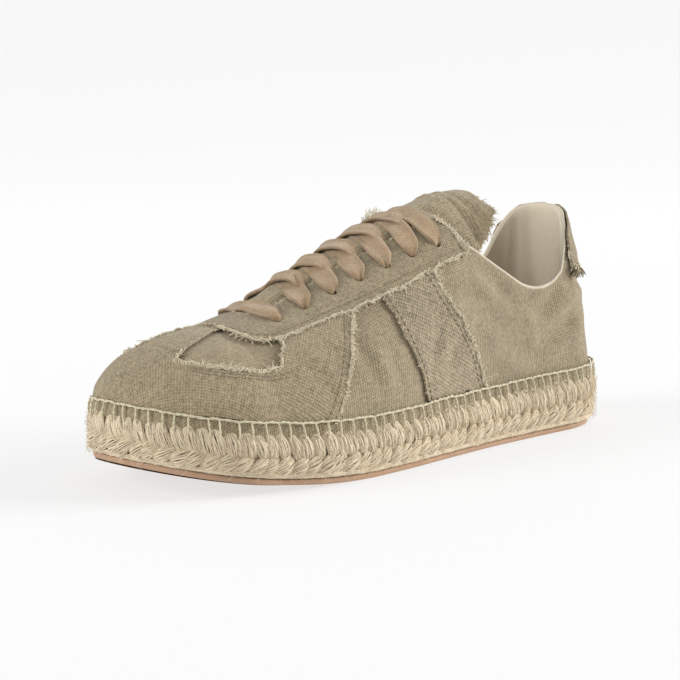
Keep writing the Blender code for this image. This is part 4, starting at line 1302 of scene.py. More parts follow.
# climb, walks of the side panel's front and rear edges
SIDE_PANEL = (
    (0.0, 139.5, 98.0),
    (0.1, 142.0, 104.0),
    (0.2, 146.5, 111.0),
    (0.3, 149.5, 117.5),
    (0.45, 153.0, 122.5),
    (0.6, 156.0, 125.0),
)
PATCH_WALK, PATCH_FOOT, PATCH_TOP_GAP = 24.0, 73.5, 0.5
PATCH_LIFT, PATCH_THICK = 0.95, 0.8
FACING_TOP = (99.5, 107.5)              # stations of the facing's outer and inner top corners
FACING_FRONT, FACING_SQUARENESS = 18.6, 2.2


def facing_edge_climb(side, walk):
    """Climb of the edge that an overlay shares with the facing."""
    station = np.clip(walk, FACING[0][0], FACING[-1][0])
    return climb_at_girth(side, station, smooth(FACING, station, 1) + EDGE_GAP)


def leaning_walk(foot, climb):
    lean = SEAM_LEAN * np.minimum(1.0, (WINDOW_FRONT - foot) / (WINDOW_FRONT - WINDOW_REAR))
    return foot - lean * climb


def guard_climb(foot):
    return blend(GUARD_LOW, GUARD_HIGH, np.clip((foot - WINDOW_REAR) / (WINDOW_FRONT - WINDOW_REAR), 0, 1))


def wing_climb(side, foot):
    climb = np.full(np.shape(foot), 0.6)
    for _ in range(5):
        climb = facing_edge_climb(side, leaning_walk(foot, climb))
    return climb


def bridge_climb(side, walk):
    angle = math.pi / 2 * (TOE_WALK - walk) / TOE_ARC
    opening = np.sin(angle) - BRIDGE_SLANT * np.cos(angle)
    distance = np.minimum(BRIDGE_WIDEST, BRIDGE_HALF / np.maximum(opening, 0.05))
    return climb_at_distance(side, walk, distance)


def sheet(net, side, walk, climb, lift=OVERLAY_LIFT, flip=False):
    """Adds a patch of overlay cloth to a net."""
    points, _ = skin(side, walk, climb, lift)
    net.grid(points, weave_place(side, walk, climb), flip=flip)


def blended_rows(low, high, count):
    share = np.linspace(0, 1, count)[:, None]
    return blend(np.broadcast_to(low, np.shape(high))[None], np.broadcast_to(high, np.shape(low))[None],
                 share)


class Edge:
    """An open edge of an overlay: its points, normals and the way out of the cloth."""

    def __init__(self, points, normals, inside, sizes):
        shift = [raw_shift(Vector((point + ORIGIN) * MM), Vector(normal), sizes)
                 for point, normal in zip(points, normals)]
        points, inside = points + np.array(shift), inside + np.array(shift)
        self.points, self.normals = points, normals
        self.way = distances(points)
        self.ahead = unit(np.gradient(points, axis=0))
        out = points - inside
        out = out - self.ahead * (out * self.ahead).sum(-1, keepdims=True)
        out = out - normals * (out * normals).sum(-1, keepdims=True)
        self.out = unit(out)

    def at(self, way):
        point, normal, ahead, out = (read_along(way, self.way, values) for values in
                                     (self.points, self.normals, self.ahead, self.out))
        return point, unit(normal), unit(ahead), unit(out)


EDGES = []


def note_edge(sizes, side, walk, climb, walk_in, climb_in, frays):
    """Keeps an overlay's edge for its frays and its stitching."""
    points, normals = skin(side, walk, climb, OVERLAY_LIFT)
    inside, _ = skin(side, walk_in, climb_in, OVERLAY_LIFT)
    EDGES.append((Edge(points, normals, inside, sizes), frays))


def note_grid_edges(sizes, points, normals, *edges):
    """The same for edges of a grid, each given as its index, one inside it and its frays."""
    for at, inside, frays in edges:
        EDGES.append((Edge(points[at], normals[at], points[inside], sizes), frays))


def sew(net, sizes, name, finish, node, thickness=OVERLAY_THICK, eyelets=False):
    """Makes one cloth of a net, with raw edges and its true thickness."""
    piece = net.finish(name, finish)
    edge_effects(piece, sizes)
    thicken(piece, thickness)
    if eyelets:
        punch(piece)
    dress(piece, [node])


WING_COLUMNS, WINDOW_COLUMNS, FRONT_COLUMNS, BRIDGE_COLUMNS = 46, 48, 34, 56
GUARD_ROWS, WING_ROWS, BRIDGE_ROWS = 40, 26, 14


def build_toe_overlay(sizes):
    """Builds the layered toe cloth."""
    net = Net()
    front = np.linspace(WINDOW_FRONT, TOE_WALK, FRONT_COLUMNS)
    guard_top = np.full(FRONT_COLUMNS, GUARD_HIGH)
    for side in (1, -1):
        rear = np.linspace(SEAM_FOOT, WINDOW_REAR, WING_COLUMNS)
        over = np.linspace(WINDOW_REAR, WINDOW_FRONT, WINDOW_COLUMNS)
        for foot, low, high, rows in ((rear, 0.0 * rear, guard_climb(rear), GUARD_ROWS),
                                      (rear, guard_climb(rear), wing_climb(side, rear), WING_ROWS),
                                      (over, 0.0 * over, guard_climb(over), GUARD_ROWS),
                                      (front, 0.0 * front, guard_top, GUARD_ROWS),
                                      (front, guard_top, bridge_climb(side, front), WING_ROWS)):
            climbs = blended_rows(low, high, rows)
            sheet(net, side, leaning_walk(foot[None], climbs), climbs, flip=side > 0)
        walk = np.linspace(BRIDGE_REAR, WINDOW_FRONT, BRIDGE_COLUMNS, endpoint=False)
        walk = np.concatenate([walk, front])
        climbs = blended_rows(bridge_climb(side, walk), np.ones(len(walk)), BRIDGE_ROWS)
        sheet(net, side, np.broadcast_to(walk, climbs.shape), climbs, flip=side > 0)
        seam = np.linspace(0.0, wing_climb(side, np.array(SEAM_FOOT)), 60)
        note_edge(sizes, side, leaning_walk(SEAM_FOOT, seam), seam,
                  leaning_walk(SEAM_FOOT + 2, seam), seam, 1.0)
        low = guard_climb(over)
        note_edge(sizes, side, leaning_walk(over, low), low,
                  leaning_walk(over, low - 0.04), low - 0.04, 1.3)
        high = np.linspace(GUARD_LOW, wing_climb(side, np.array(WINDOW_REAR)), 30)
        note_edge(sizes, side, leaning_walk(WINDOW_REAR, high), high,
                  leaning_walk(WINDOW_REAR - 2, high), high, 0.55)
        walk = np.linspace(BRIDGE_REAR, WINDOW_FRONT, 50)
        low = bridge_climb(side, walk)
        note_edge(sizes, side, walk, low, walk, low + 0.03, 0.15 if side > 0 else 1.2)
        high = np.linspace(GUARD_HIGH, bridge_climb(side, np.array(WINDOW_FRONT)), 24)
        note_edge(sizes, side, np.full(24, WINDOW_FRONT), high, np.full(24, WINDOW_FRONT + 2), high, 0.8)
    sew(net, sizes, "toe_overlay_cloth", "toe", "toe_overlay")


def build_side_panels(sizes):
    """Builds the two side panels."""
    for name, side in (("lateral", 1), ("medial", -1)):
        across = np.linspace(0, 1, 50)[None]
        share = np.linspace(0, 1, 60)[:, None]
        climb = np.zeros((60, 50))
        for _ in range(4):
            walk = blend(smooth(SIDE_PANEL, climb, 2), smooth(SIDE_PANEL, climb, 1), across)
            climb = share * facing_edge_climb(side, walk)
        net = Net()
        sheet(net, side, walk, climb, flip=side > 0)
        sew(net, sizes, f"side_panel_{name}_cloth", "panel", f"side_panel_{name}")
        note_edge(sizes, side, walk[:, 0], climb[:, 0], walk[:, 2], climb[:, 2], 1.5)
        note_edge(sizes, side, walk[:, -1], climb[:, -1], walk[:, -3], climb[:, -3], 0.06)


def facing_rows(rows):
    """Stations and girths of the eyestay, from its outer to its inner edge, once round the throat."""
    share = np.linspace(0, 1, 130)
    turn = math.pi / 2 * (1 - np.linspace(0, 2, 90))[1:-1]
    inner_reach = THROAT_FRONT_WALK - THROAT_ROUND_WALK + EDGE_GAP
    outer_half = smooth(FACING, THROAT_ROUND_WALK, 1)
    inner_half = smooth(FACING, THROAT_ROUND_WALK, 3) + EDGE_GAP
    r = superellipse(turn, FACING_FRONT, outer_half, FACING_SQUARENESS)
    out_x, in_x = (blend(top, THROAT_ROUND_WALK, share) for top in FACING_TOP)
    out_y, in_y = smooth(FACING, out_x, 1), smooth(FACING, in_x, 3) + EDGE_GAP
    outer_x = np.concatenate([out_x, THROAT_ROUND_WALK + r * np.cos(turn), out_x[::-1]])
    outer_y = np.concatenate([out_y, r * np.sin(turn), -out_y[::-1]])
    inner_x = np.concatenate([in_x, THROAT_ROUND_WALK + inner_reach * np.cos(turn), in_x[::-1]])
    inner_y = np.concatenate([in_y, inner_half * np.sin(turn), -in_y[::-1]])
    t = np.linspace(0, 1, rows)[:, None]
    return blend(outer_x, inner_x, t), blend(outer_y, inner_y, t)


def build_eyestay(sizes):
    """Builds the lace facings."""
    station, girth = facing_rows(34)
    points, normals = arch(station, girth, OVERLAY_LIFT + 0.1)
    net = Net()
    net.grid(points, np.stack([station, girth], -1), flip=True)
    sew(net, sizes, "eyestay_cloth", "overlay", "eyestay", eyelets=True)
    note_grid_edges(sizes, points, normals, (0, 2, 1.1), (-1, -3, 0.4),
                    (np.s_[:, 0], np.s_[:, 2], 1.8), (np.s_[:, -1], np.s_[:, -3], 1.8))


def build_heel_patch(sizes):
    """Builds the cloth round the heel's collar."""
    half = np.linspace(HEEL_WALK, PATCH_WALK, 50)
    walk = np.concatenate([np.linspace(PATCH_WALK, HEEL_WALK, 50), half[1:]])
    side = np.concatenate([-np.ones(50), np.ones(49)])
    top = climb_at_height(side, walk, smooth(COLLAR, walk) - PATCH_TOP_GAP)
    low = climb_at_height(side, walk, PATCH_FOOT)
    climb = blended_rows(low, top, 36)
    sides = np.broadcast_to(side, climb.shape)
    points, normals = skin(sides, walk[None], climb, PATCH_LIFT)
    net = Net()
    net.grid(points, weave_place(sides, walk[None], climb), flip=False)
    sew(net, sizes, "heel_patch_cloth", "overlay", "heel_patch", PATCH_THICK)
    note_grid_edges(sizes, points, normals, (0, 2, 1.8), (np.s_[:, 0], np.s_[:, 2], 0.5),
                    (np.s_[:, -1], np.s_[:, -3], 0.5))


# ---- tongue ----------------------------------------------------------------------------------
TONGUE_DROP, TONGUE_THICK = 3.8, 2.0     # outer face under the canvas, and the pad's thickness
TONGUE_COLUMNS, HELD_ROWS, FREE_ROWS = 97, 126, 26
TONGUE_RIDGE = 0.4                       # height of a fold's ridges, as a share of its depth
# station, half width of the tongue along its arch
TONGUE_HALF = (
    (77.0, 27.0),
    (82.0, 34.5),
    (89.0, 38.0),
    (97.0, 38.5),
    (104.0, 38.5),
    (120.0, 37.0),
    (144.0, 30.0),
    (180.0, 24.0),
    (214.0, 22.0),
)
# station, rise of its middle over the last station on the form, share of the arch kept, sideways tilt
TONGUE_TOP = (
    (77.0, 0.8, 0.35, -0.01),
    (82.0, 0.6, 0.52, -0.01),
    (89.0, 0.3, 0.88, -0.01),
    (97.0, 0.0, 1.0, 0.0),
)
# station, how far the padding swells the tongue's middle, and half width of the swelling
TONGUE_SWELL = (
    (77.0, 1.5, 17.0),
    (100.0, 1.9, 16.0),
    (112.0, 3.6, 12.5),
    (150.0, 5.0, 9.8),
    (190.0, 5.7, 7.1),
    (202.0, 3.6, 6.2),
    (208.0, 0.2, 5.0),
)
TONGUE_FRONT, TONGUE_FREE, TONGUE_END = 214.0, 97.0, 77.0
TONGUE_RUMPLES = ((0.45, 12.0, 4.0), (0.25, 5.0, 7.0))      # height, size and seed
# station and y of both ends of a fold in the tongue's top, its depth and half width
TONGUE_FOLDS = (
    (108.0, 6.0, 92.0, 30.0, 0.9, 1.8),
    (96.0, -10.0, 88.0, 22.0, 0.8, 1.8),
    (88.0, 2.0, 83.0, 24.0, 0.6, 1.6),
    (104.0, -14.0, 96.0, 4.0, 0.6, 1.6),
)


def swelling(station, across):
    return smooth(TONGUE_SWELL, station) * np.exp(-(across / smooth(TONGUE_SWELL, station, 2)) ** 4)


def tongue_height(station, girth):
    """Height of the tongue's outer face over the canvas form."""
    return float(swelling(station, girth)) - TONGUE_DROP


def build_tongue(sizes):
    """Builds the tongue with its raw top."""
    share = np.linspace(-1, 1, TONGUE_COLUMNS)[None]
    held = np.linspace(TONGUE_FRONT, TONGUE_FREE, HELD_ROWS)[:, None]
    body, _ = arch(held, smooth(TONGUE_HALF, held) * share)
    free = np.linspace(TONGUE_FREE, TONGUE_END, FREE_ROWS)[1:, None]
    last, _ = arch(np.full((1, TONGUE_COLUMNS), TONGUE_FREE), smooth(TONGUE_HALF, free) * share)
    middle, _ = arch(TONGUE_FREE, 0.0)
    rise, keep, tilt = (smooth(TONGUE_TOP, free, k) for k in (1, 2, 3))
    z = middle[2] + rise + (last[..., 2] - middle[2]) * keep + tilt * (last[..., 1] - middle[1])
    top = np.stack([np.broadcast_to(free, z.shape), last[..., 1], z], -1)
    points = np.concatenate([body, top])
    along, across = np.gradient(points, axis=0), np.gradient(points, axis=1)
    normals = unit(np.cross(across, along))
    soft = sum(height * rumple(points, size, seed) for height, size, seed in TONGUE_RUMPLES)
    soft += swelling(points[..., 0], points[..., 1] - core_y(points[..., 0]))
    for *ends, depth, width in TONGUE_FOLDS:
        _, away = off_line(points[..., 0], points[..., 1], *ends)
        soft += depth * trough(away, width, TONGUE_RIDGE)
    points = points - normals * (TONGUE_DROP - soft[..., None])
    net = Net()
    lengths = distances(points[:, TONGUE_COLUMNS // 2])
    net.grid(points, np.stack(np.broadcast_arrays(lengths[:, None], 30.0 * share), -1), flip=True)
    sew(net, sizes, "tongue_cloth", "canvas", "tongue", TONGUE_THICK)
    EDGES.append((Edge(points[-1] + normals[-1] * 0.5, normals[-1], points[-3], sizes), 1.3))
    note_grid_edges(sizes, points, normals,
                    *((np.s_[-28:, at], np.s_[-28:, inside], 0.7) for at, inside in ((0, 2), (-1, -3))))


# ---- laces -----------------------------------------------------------------------------------
LACE_WIDTH, LACE_THICK, LACE_PAIRS = 9.6, 1.5, 7
LACE_FRONT, LACE_BACK = 200.5, 115.0
LACE_OVER, LACE_UNDER = 2.3, -3.0
LACE_CLEAR = 2.1            # a ribbon's middle over the tongue where it rests on it
LACE_LAYER = 1.7            # a ribbon's middle over the middle of the one that it lies on
EYELET_RADIUS = 2.1
LACE_STEPS, LACE_SIDES = 90, 32
LACE_CRUMPLES = ((0.35, 6.0, 1.3, 3.1), (0.75, 19.0, 2.7, 5.3))     # height, length, number, seed
LACE_RIBS, RIB_HIGH = 3.5, 0.12         # ribs on half the lace, their height as a share of its thickness
LACE_RUN, SINK_RUN = 9.5, 6.5           # way of a ribbon out on to the facing, and down at its end
TUCK = 3.0                  # how far inside the throat's edge it goes down


def eyelet_station(pair):
    return blend(LACE_FRONT, LACE_BACK, pair / (LACE_PAIRS - 1))


def eyelet_girth(pair):
    return float(smooth(FACING, eyelet_station(pair), 2))


def resting(station, girth):
    """Lift of a ribbon's middle that lies on the tongue."""
    return tongue_height(station, girth) + LACE_CLEAR


def lace_ribbon(net, rows, seed, roll=0.0):
    """A flat woven ribbon along rows of a (station, girth, lift above the canvas) point and a width.

    The roll, in degrees, turns its middle's front edge down.
    """
    route, widths = (np.array(values) for values in zip(*rows))
    steps = np.concatenate([[0], np.cumsum(np.linalg.norm(np.diff(route[:, :2], axis=0), axis=1)
                                           + 0.7 * np.abs(np.diff(route[:, 2])))])
    way = np.linspace(0, steps[-1], LACE_STEPS)
    place = read_along(way, steps, route)
    wide = np.interp(way, steps, widths)
    for _ in range(4):
        place[1:-1] = (place[:-2] + 2 * place[1:-1] + place[2:]) / 4
        wide[1:-1] = (wide[:-2] + 2 * wide[1:-1] + wide[2:]) / 4
    base, normals = arch(place[:, 0], place[:, 1])
    centre = base + normals * place[:, 2:]
    across = unit(np.cross(centre[-1] - centre[0], normals))
    turn = (np.radians(roll) * np.sin(math.pi * way / way[-1]) * np.sign(across[:, 0]))[:, None]
    across = across * np.cos(turn) - normals * np.sin(turn)
    thick = unit(np.cross(across, unit(np.gradient(centre, axis=0))))
    angle = full_turn(LACE_SIDES)
    x, y = squared(np.cos(angle), 0.45), squared(np.sin(angle), 0.55)
    ribs = 1 + RIB_HIGH * np.cos(x * LACE_RIBS * math.pi * 2)
    thin = np.clip((LACE_WIDTH / wide) ** 0.35, 1.0, 1.35) * LACE_THICK / 2
    waver = 0.35 * np.array([noise.noise((w / 9.0, seed, 0.0)) for w in way])
    crumple = np.array([[sum(high * noise.noise((w / long, u * number, seed * own))
                             for high, long, number, own in LACE_CRUMPLES) for w in way] for u in x])
    gather = np.clip((LACE_WIDTH / wide) ** 0.8, 1.0, 1.9)
    dish = 0.35 * np.minimum(1, np.abs(x[:, None])) ** 2 + crumple * gather[None]
    rings = (centre[None] + across[None] * (x[:, None] * wide[None] / 2 + waver[None])[..., None]
             + thick[None] * (y[:, None] * ribs[:, None] * thin[None] + dish)[..., None])
    places = np.stack(np.broadcast_arrays(way[None], (angle * LACE_WIDTH / 3)[:, None]), -1)
    net.grid(rings, places)
    ring_caps(net, rings[:, 0], rings[:, -1])


def ribbon_start(station, girth, aim_station, aim_girth):
    """Route out of an eyelet and on to the facing."""
    gap = math.hypot(aim_station - station, aim_girth - girth)
    way_s, way_g = (aim_station - station) / gap, (aim_girth - girth) / gap
    rows = ((-0.5, -3.2, 2.8), (-0.3, -1.0, 2.8), (0.2, 1.0, 3.6), (1.4, LACE_OVER - 0.5, 5.6),
            (3.0, LACE_OVER, 8.0), (5.4, LACE_OVER, LACE_WIDTH), (9.0, LACE_OVER, LACE_WIDTH))
    return [((station + way_s * run, girth + way_g * run, lift), width) for run, lift, width in rows]


# side the ribbon starts from, its middle over a ribbon's that rests on the tongue, shares of its way
# where it starts and ends its dive, roll
LACE_WAYS = (
    (1, 0.4, 0.46, 0.74, 4.0),
    (-1, LACE_LAYER, 0.84, 1.02, -2.0),
)


def build_laces():
    """Builds the lace ribbons through the eyelets."""
    for name, pair in (("lace_bar_bottom", 0), ("lace_bar_top", LACE_PAIRS - 1)):
        station, half = eyelet_station(pair), eyelet_girth(pair)
        rows = ribbon_start(station, half, station, -half)
        for t in np.linspace(0, 1, 16)[4:-4]:
            girth = half * (1 - 2 * t)
            rows.append(((station, girth, max(LACE_OVER - 0.4, resting(station, girth))), LACE_WIDTH))
        rows += ribbon_start(station, -half, station, half)[::-1]
        net = Net()
        lace_ribbon(net, rows, pair)
        finish_lace(net, name)
    for pair in range(1, LACE_PAIRS - 1):
        net = Net()
        for side, layer, dive, sunk, roll in LACE_WAYS:
            start = np.array([eyelet_station(pair), side * eyelet_girth(pair)])
            end = np.array([eyelet_station(pair + 1), -side * eyelet_girth(pair + 1)])
            gap = np.linalg.norm(end - start)
            edge = float(throat_half(end[0]))
            stop = abs(start[1] + side * (edge - TUCK)) / abs(start[1] - end[1])
            rows = ribbon_start(*start, *end)
            for t in np.linspace(LACE_RUN / gap, stop, 14)[1:]:
                station, girth = start + (end - start) * t
                dip = ease((t / stop - dive) / (sunk - dive))
                low = resting(station, girth)
                high = max(LACE_OVER, low + layer)
                rows.append(((station, girth, blend(high, low, dip)), LACE_WIDTH))
            station, girth = start + (end - start) * (stop + SINK_RUN / gap)
            rows.append(((station, girth, LACE_UNDER), LACE_WIDTH - 0.6))
            lace_ribbon(net, rows, pair + side / 3, roll)
        finish_lace(net, f"lace_crossing_{pair}")


def finish_lace(net, node):
    piece = net.finish(f"{node}_ribbon", "lace")
    face_outwards(piece)
    dress(piece, [node])


# ---- loose threads and stitching -------------------------------------------------------------
WELL_FRAYED = 0.4           # an edge frayed more than this has more than loose ends


def loose_ends(edge, amount, sizes, rng):
    """Ends across a raw edge, as tails, heads and bows."""
    count = int(edge.way[-1] * sizes.ends_per_mm * min(1.3, 0.1 + 1.0 * amount))
    point, normal, ahead, out = edge.at(rng.uniform(0, edge.way[-1], count))
    reach = sizes.end_length * min(1.4, 0.45 + 0.5 * amount) * rng.gamma(3.0, 0.3, (count, 1))
    reach *= 1.0 + 1.1 * rumple(point, 5.0, 13.0)[:, None]
    lean = rng.normal(0, 0.7, (count, 1))
    lift = rng.uniform(-0.5, 0.4, (count, 1))
    tail = point - out * 0.5 - normal * rng.uniform(0.0, 0.6, (count, 1))
    head = point + (out + ahead * lean + normal * lift) * reach
    return tail, head, normal * rng.uniform(0.0, 0.5, (count, 1))


def ravelled_yarns(edge, amount, rng):
    """Yarns that have come free along the edge."""
    count = max(2, int(edge.way[-1] / 2.6 * min(1.4, amount)))
    way = rng.uniform(-2, edge.way[-1] - 3, count)
    run = rng.uniform(3.5, 8, count)
    tail, tail_normal, _, tail_out = edge.at(way)
    head, head_normal, _, head_out = edge.at(way + run)
    away = rng.uniform(-0.6, 0.8, (2, count, 1))
    tail = tail + tail_out * away[0] + tail_normal * 0.1
    head = head + head_out * away[1] + head_normal * 0.1
    middle, normal, _, out = edge.at(way + run / 2)
    return tail, head, middle + normal * 0.2 + out * away.mean(0) - (tail + head) / 2


def longer_curls(edge, amount, sizes, rng):
    count = int(edge.way[-1] / sizes.curl_gap * amount)
    point, normal, ahead, out = edge.at(rng.uniform(0, edge.way[-1], count))
    reach = rng.uniform(1.6, 4.0, (count, 1))
    sweep = rng.choice((-1, 1), (count, 1)) * rng.uniform(0.3, 1.2, (count, 1))
    head = point + (out * 0.5 + ahead * sweep + normal * rng.uniform(0, 0.4, (count, 1))) * reach
    return point, head, (out + normal * 0.5) * reach * 0.3


def ravelled_knots(edge, amount, sizes, rng):
    count = int(edge.way[-1] / sizes.knot_gap * min(1.3, amount))
    point, normal, ahead, out = edge.at(rng.uniform(0, edge.way[-1], count))
    point = point + out * rng.uniform(-0.4, 0.7, (count, 1)) + normal * 0.15
    turn = ahead * rng.normal(0, 0.8, (count, 1)) + out * rng.normal(0, 0.5, (count, 1))
    bow = (out * 0.5 + normal * 0.4) * rng.uniform(0.3, 1.4, (count, 1))
    return point - turn, point + turn, bow


def build_frays(sizes):
    """Builds the loose ends across raw edges, the yarns along them and a few longer curls."""
    rng = np.random.default_rng(41)
    short, along, curls, knots = [], [], [], []
    for edge, amount in EDGES:
        short.append(loose_ends(edge, amount, sizes, rng))
        if amount > WELL_FRAYED:
            along.append(ravelled_yarns(edge, amount, rng))
            curls.append(longer_curls(edge, amount, sizes, rng))
            knots.append(ravelled_knots(edge, amount, sizes, rng))
    for name, rows, settings in (
            ("loose_ends", short, dict(Steps=4, Sides=3, Yarn_Radius=sizes.end_width / 2, Taper=0.3,
                                       Mess=0.0011, Mess_Scale=700.0, Free_Ends=1.0)),
            ("edge_yarns", along, dict(Steps=14, Sides=4, Yarn_Radius=sizes.end_width * 0.5,
                                       Mess=0.0040, Mess_Scale=380.0)),
            ("edge_knots", knots, dict(Steps=7, Sides=5, Yarn_Radius=sizes.end_width * 0.75,
                                       Mess=0.0020, Mess_Scale=520.0)),
            ("edge_curls", curls, dict(Steps=9, Sides=4, Yarn_Radius=sizes.end_width * 0.4, Taper=0.3,
                                       Mess=0.0022, Mess_Scale=340.0, Free_Ends=1.0))):
        tails, heads, bows = (np.concatenate([row[k] for row in rows]) for k in range(3))
        piece = yarns(name, "loose", tails, heads, bows, seed=43, Yarns=1, **settings)
        dress(piece)


# number of the raw edge, share of its way, number of ends, length in mm, finish
TUFTS = (
    (16, 0.12, 30, 3.2, "loose"),
    (15, 0.95, 260, 9.5, "bleached"),
    (17, 0.3, 90, 6.5, "stitch"),
    (18, 0.97, 110, 6.0, "loose"),
    (18, 0.96, 110, 6.5, "seam"),
)


def build_tufts(sizes):
    """Builds the clumps of yarn where a raw corner has come apart."""
    rng = np.random.default_rng(61)
    for k, (edge, share, count, length, finish) in enumerate(TUFTS):
        edge = EDGES[edge][0]
        point, normal, ahead, out = edge.at(np.full(count, edge.way[-1] * share))
        reach = length * rng.uniform(0.4, 1.0, (count, 1))
        way = out * 0.9 + normal * rng.normal(0.4, 0.4, (count, 1)) + ahead * rng.normal(0, 0.8, (count, 1))
        tails = point - out + ahead * rng.normal(0, 1.2, (count, 1))
        piece = yarns(f"corner_tuft_{k}", finish, tails, point + unit(way) * reach,
                      normal * rng.uniform(0.0, 1.2, (count, 1)), seed=62 + k, Yarns=1, Steps=7, Sides=4,
                      Yarn_Radius=sizes.end_width * 0.6, Taper=0.3, Mess=0.0025, Mess_Scale=420.0,
                      Free_Ends=1.0)
        dress(piece)


STITCH_SHARE = 0.78         # share of its pitch that a stitch shows
STITCH_SUNK, STITCH_BOW = 0.15, 0.33
# rows of topstitching: walk from the wing's seam, climbs under the guard's edge, and for both edges
# of a side panel its column in the table and the walk from it
SEAM_ROW = 4.6
GUARD_DROPS = (0.035, 0.06)
PANEL_ROWS = ((1, -2.4), (2, 3.4))
EYESTAY_ROW, EYESTAY_ROWS = 14, 101     # the eyestay's row is this one of so many across it


def stitch_rows():
    """Every row of topstitching, as (points, normals)."""
    for side in (1, -1):
        rear = np.linspace(0.0, 0.62, 80)
        yield skin(side, leaning_walk(SEAM_FOOT + SEAM_ROW, rear), rear, OVERLAY_LIFT)
        foot = np.linspace(WINDOW_REAR - 6, WINDOW_FRONT - 4, 90)
        for drop in GUARD_DROPS:
            climb = guard_climb(foot) - drop
            yield skin(side, leaning_walk(foot, climb), climb, OVERLAY_LIFT)
        climb = np.linspace(0.0, 0.55, 70)
        for edge, inward in PANEL_ROWS:
            yield skin(side, smooth(SIDE_PANEL, climb, edge) + inward, climb, OVERLAY_LIFT)
    station, girth = facing_rows(EYESTAY_ROWS)
    yield arch(station[EYESTAY_ROW], girth[EYESTAY_ROW], OVERLAY_LIFT + 0.1)


def build_topstitch(sizes):
    """Builds the rows of topstitching."""
    tails, heads, bows = [], [], []
    for points, normals in stitch_rows():
        way = distances(points)
        starts = np.arange(0.5, way[-1] - sizes.stitch_pitch, sizes.stitch_pitch)
        normal = read_along(starts, way, normals)
        tails.append(read_along(starts, way, points) - normal * STITCH_SUNK)
        heads.append(read_along(starts + sizes.stitch_pitch * STITCH_SHARE, way, points)
                     - normal * STITCH_SUNK)
        bows.append(normal * STITCH_BOW)
    tails, heads, bows = (np.concatenate(rows) for rows in (tails, heads, bows))
    piece = yarns("topstitching", "seam", tails, heads, bows, seed=51, Yarns=1, Steps=6, Sides=6,
                  Yarn_Radius=sizes.seam_width / 2)
    dress(piece)


# ---- stage -----------------------------------------------------------------------------------
SWEEP_NEAR, SWEEP_CURVE, SWEEP_HIGH, SWEEP_HALF = -2.5, 1.2, 3.5, 3.0
CAMERA_AZIMUTH, CAMERA_ELEVATION, CAMERA_AWAY = 135.0, 9.0, 1.0
CAMERA_CENTRE = (0.0, 0.0, 0.040)
SENSOR_WIDTH, CLIP_START = 36.0, 0.05
WHITE = (1.0, 1.0, 1.0, 1.0)


def build_sweep(look):
    """Paper floor that curves up behind the shoe, square to the camera."""
    turn = math.pi / 2 * np.linspace(0, 1, 25)
    away = np.concatenate([[SWEEP_NEAR, SWEEP_CURVE], SWEEP_CURVE + SWEEP_CURVE * np.sin(turn),
                           [2 * SWEEP_CURVE]])
    rise = np.concatenate([[0.0, 0.0], SWEEP_CURVE - SWEEP_CURVE * np.cos(turn), [SWEEP_HIGH]])
    across = np.array([-SWEEP_HALF, SWEEP_HALF])[:, None]
    back, along = np.array((-0.7071, -0.7071, 0.0)), np.array((-0.7071, 0.7071, 0.0))
    points = (back * away[None, :, None] + along * across[..., None]) / MM - ORIGIN
    points[..., 2] = rise / MM
    net = Net()
    net.grid(points, flip=True)
    SHARED["paper"], _, shader = new_material("sweep_paper", 0.95)
    shader.inputs["Base Color"].default_value = (*look.floor, 1.0)
    shader.inputs["Emission Color"].default_value = WHITE
    shader.inputs["Emission Strength"].default_value = look.glow
    net.finish("studio_sweep", "paper")


def build_stage(look):
    """Builds the floor, the lights and the camera."""
    scene = bpy.context.scene
    build_sweep(look)
    for name, power, way in (("key_light", look.key, look.key_from),
                             ("fill_light", look.fill, look.fill_from)):
        sun = bpy.data.lights.new(name, "SUN")
        sun.energy, sun.angle = power, math.radians(look.softness)
        light = placed(name, sun)
        light.rotation_euler = (-Vector(way)).to_track_quat("-Z", "Y").to_euler()
    world = bpy.data.worlds.new("studio")
    world.use_nodes = True
    background = world.node_tree.nodes["Background"]
    background.inputs["Color"].default_value = WHITE
    background.inputs["Strength"].default_value = look.surround
    scene.world = world
    camera = placed("camera", bpy.data.cameras.new("camera"))
    camera.data.lens, camera.data.sensor_width = look.lens, SENSOR_WIDTH
    camera.data.clip_start = CLIP_START
    azimuth, elevation = math.radians(CAMERA_AZIMUTH), math.radians(CAMERA_ELEVATION)
    back = Vector((math.sin(azimuth) * math.cos(elevation), -math.cos(azimuth) * math.cos(elevation),
                   math.sin(elevation)))
    camera.location = Vector(CAMERA_CENTRE) + back * CAMERA_AWAY
    aim = Vector(look.aim)
    camera.rotation_euler = (aim - camera.location).to_track_quat("-Z", "Y").to_euler()
    scene.camera = camera
    scene.view_settings.view_transform = "Standard"


# ---- add-on ----------------------------------------------------------------------------------
def size_property(name, description, default, low=0.0, high=1.0, unit_kind="NONE"):
    return bpy.props.FloatProperty(name=name, description=description, default=default, min=low,
                                   max=high, unit=unit_kind, precision=5)


def place_property(name, description, default):
    return bpy.props.FloatVectorProperty(name=name, description=description, default=default,
                                         subtype="XYZ", size=3)


def colour_property(name, description, default):
    return bpy.props.FloatVectorProperty(name=name, description=description, default=default,
                                         subtype="COLOR", size=3, min=0.0, max=1.0)


def count_property(name, description, default, low=1, high=100000):
    return bpy.props.IntProperty(name=name, description=description, default=default, min=low, max=high)


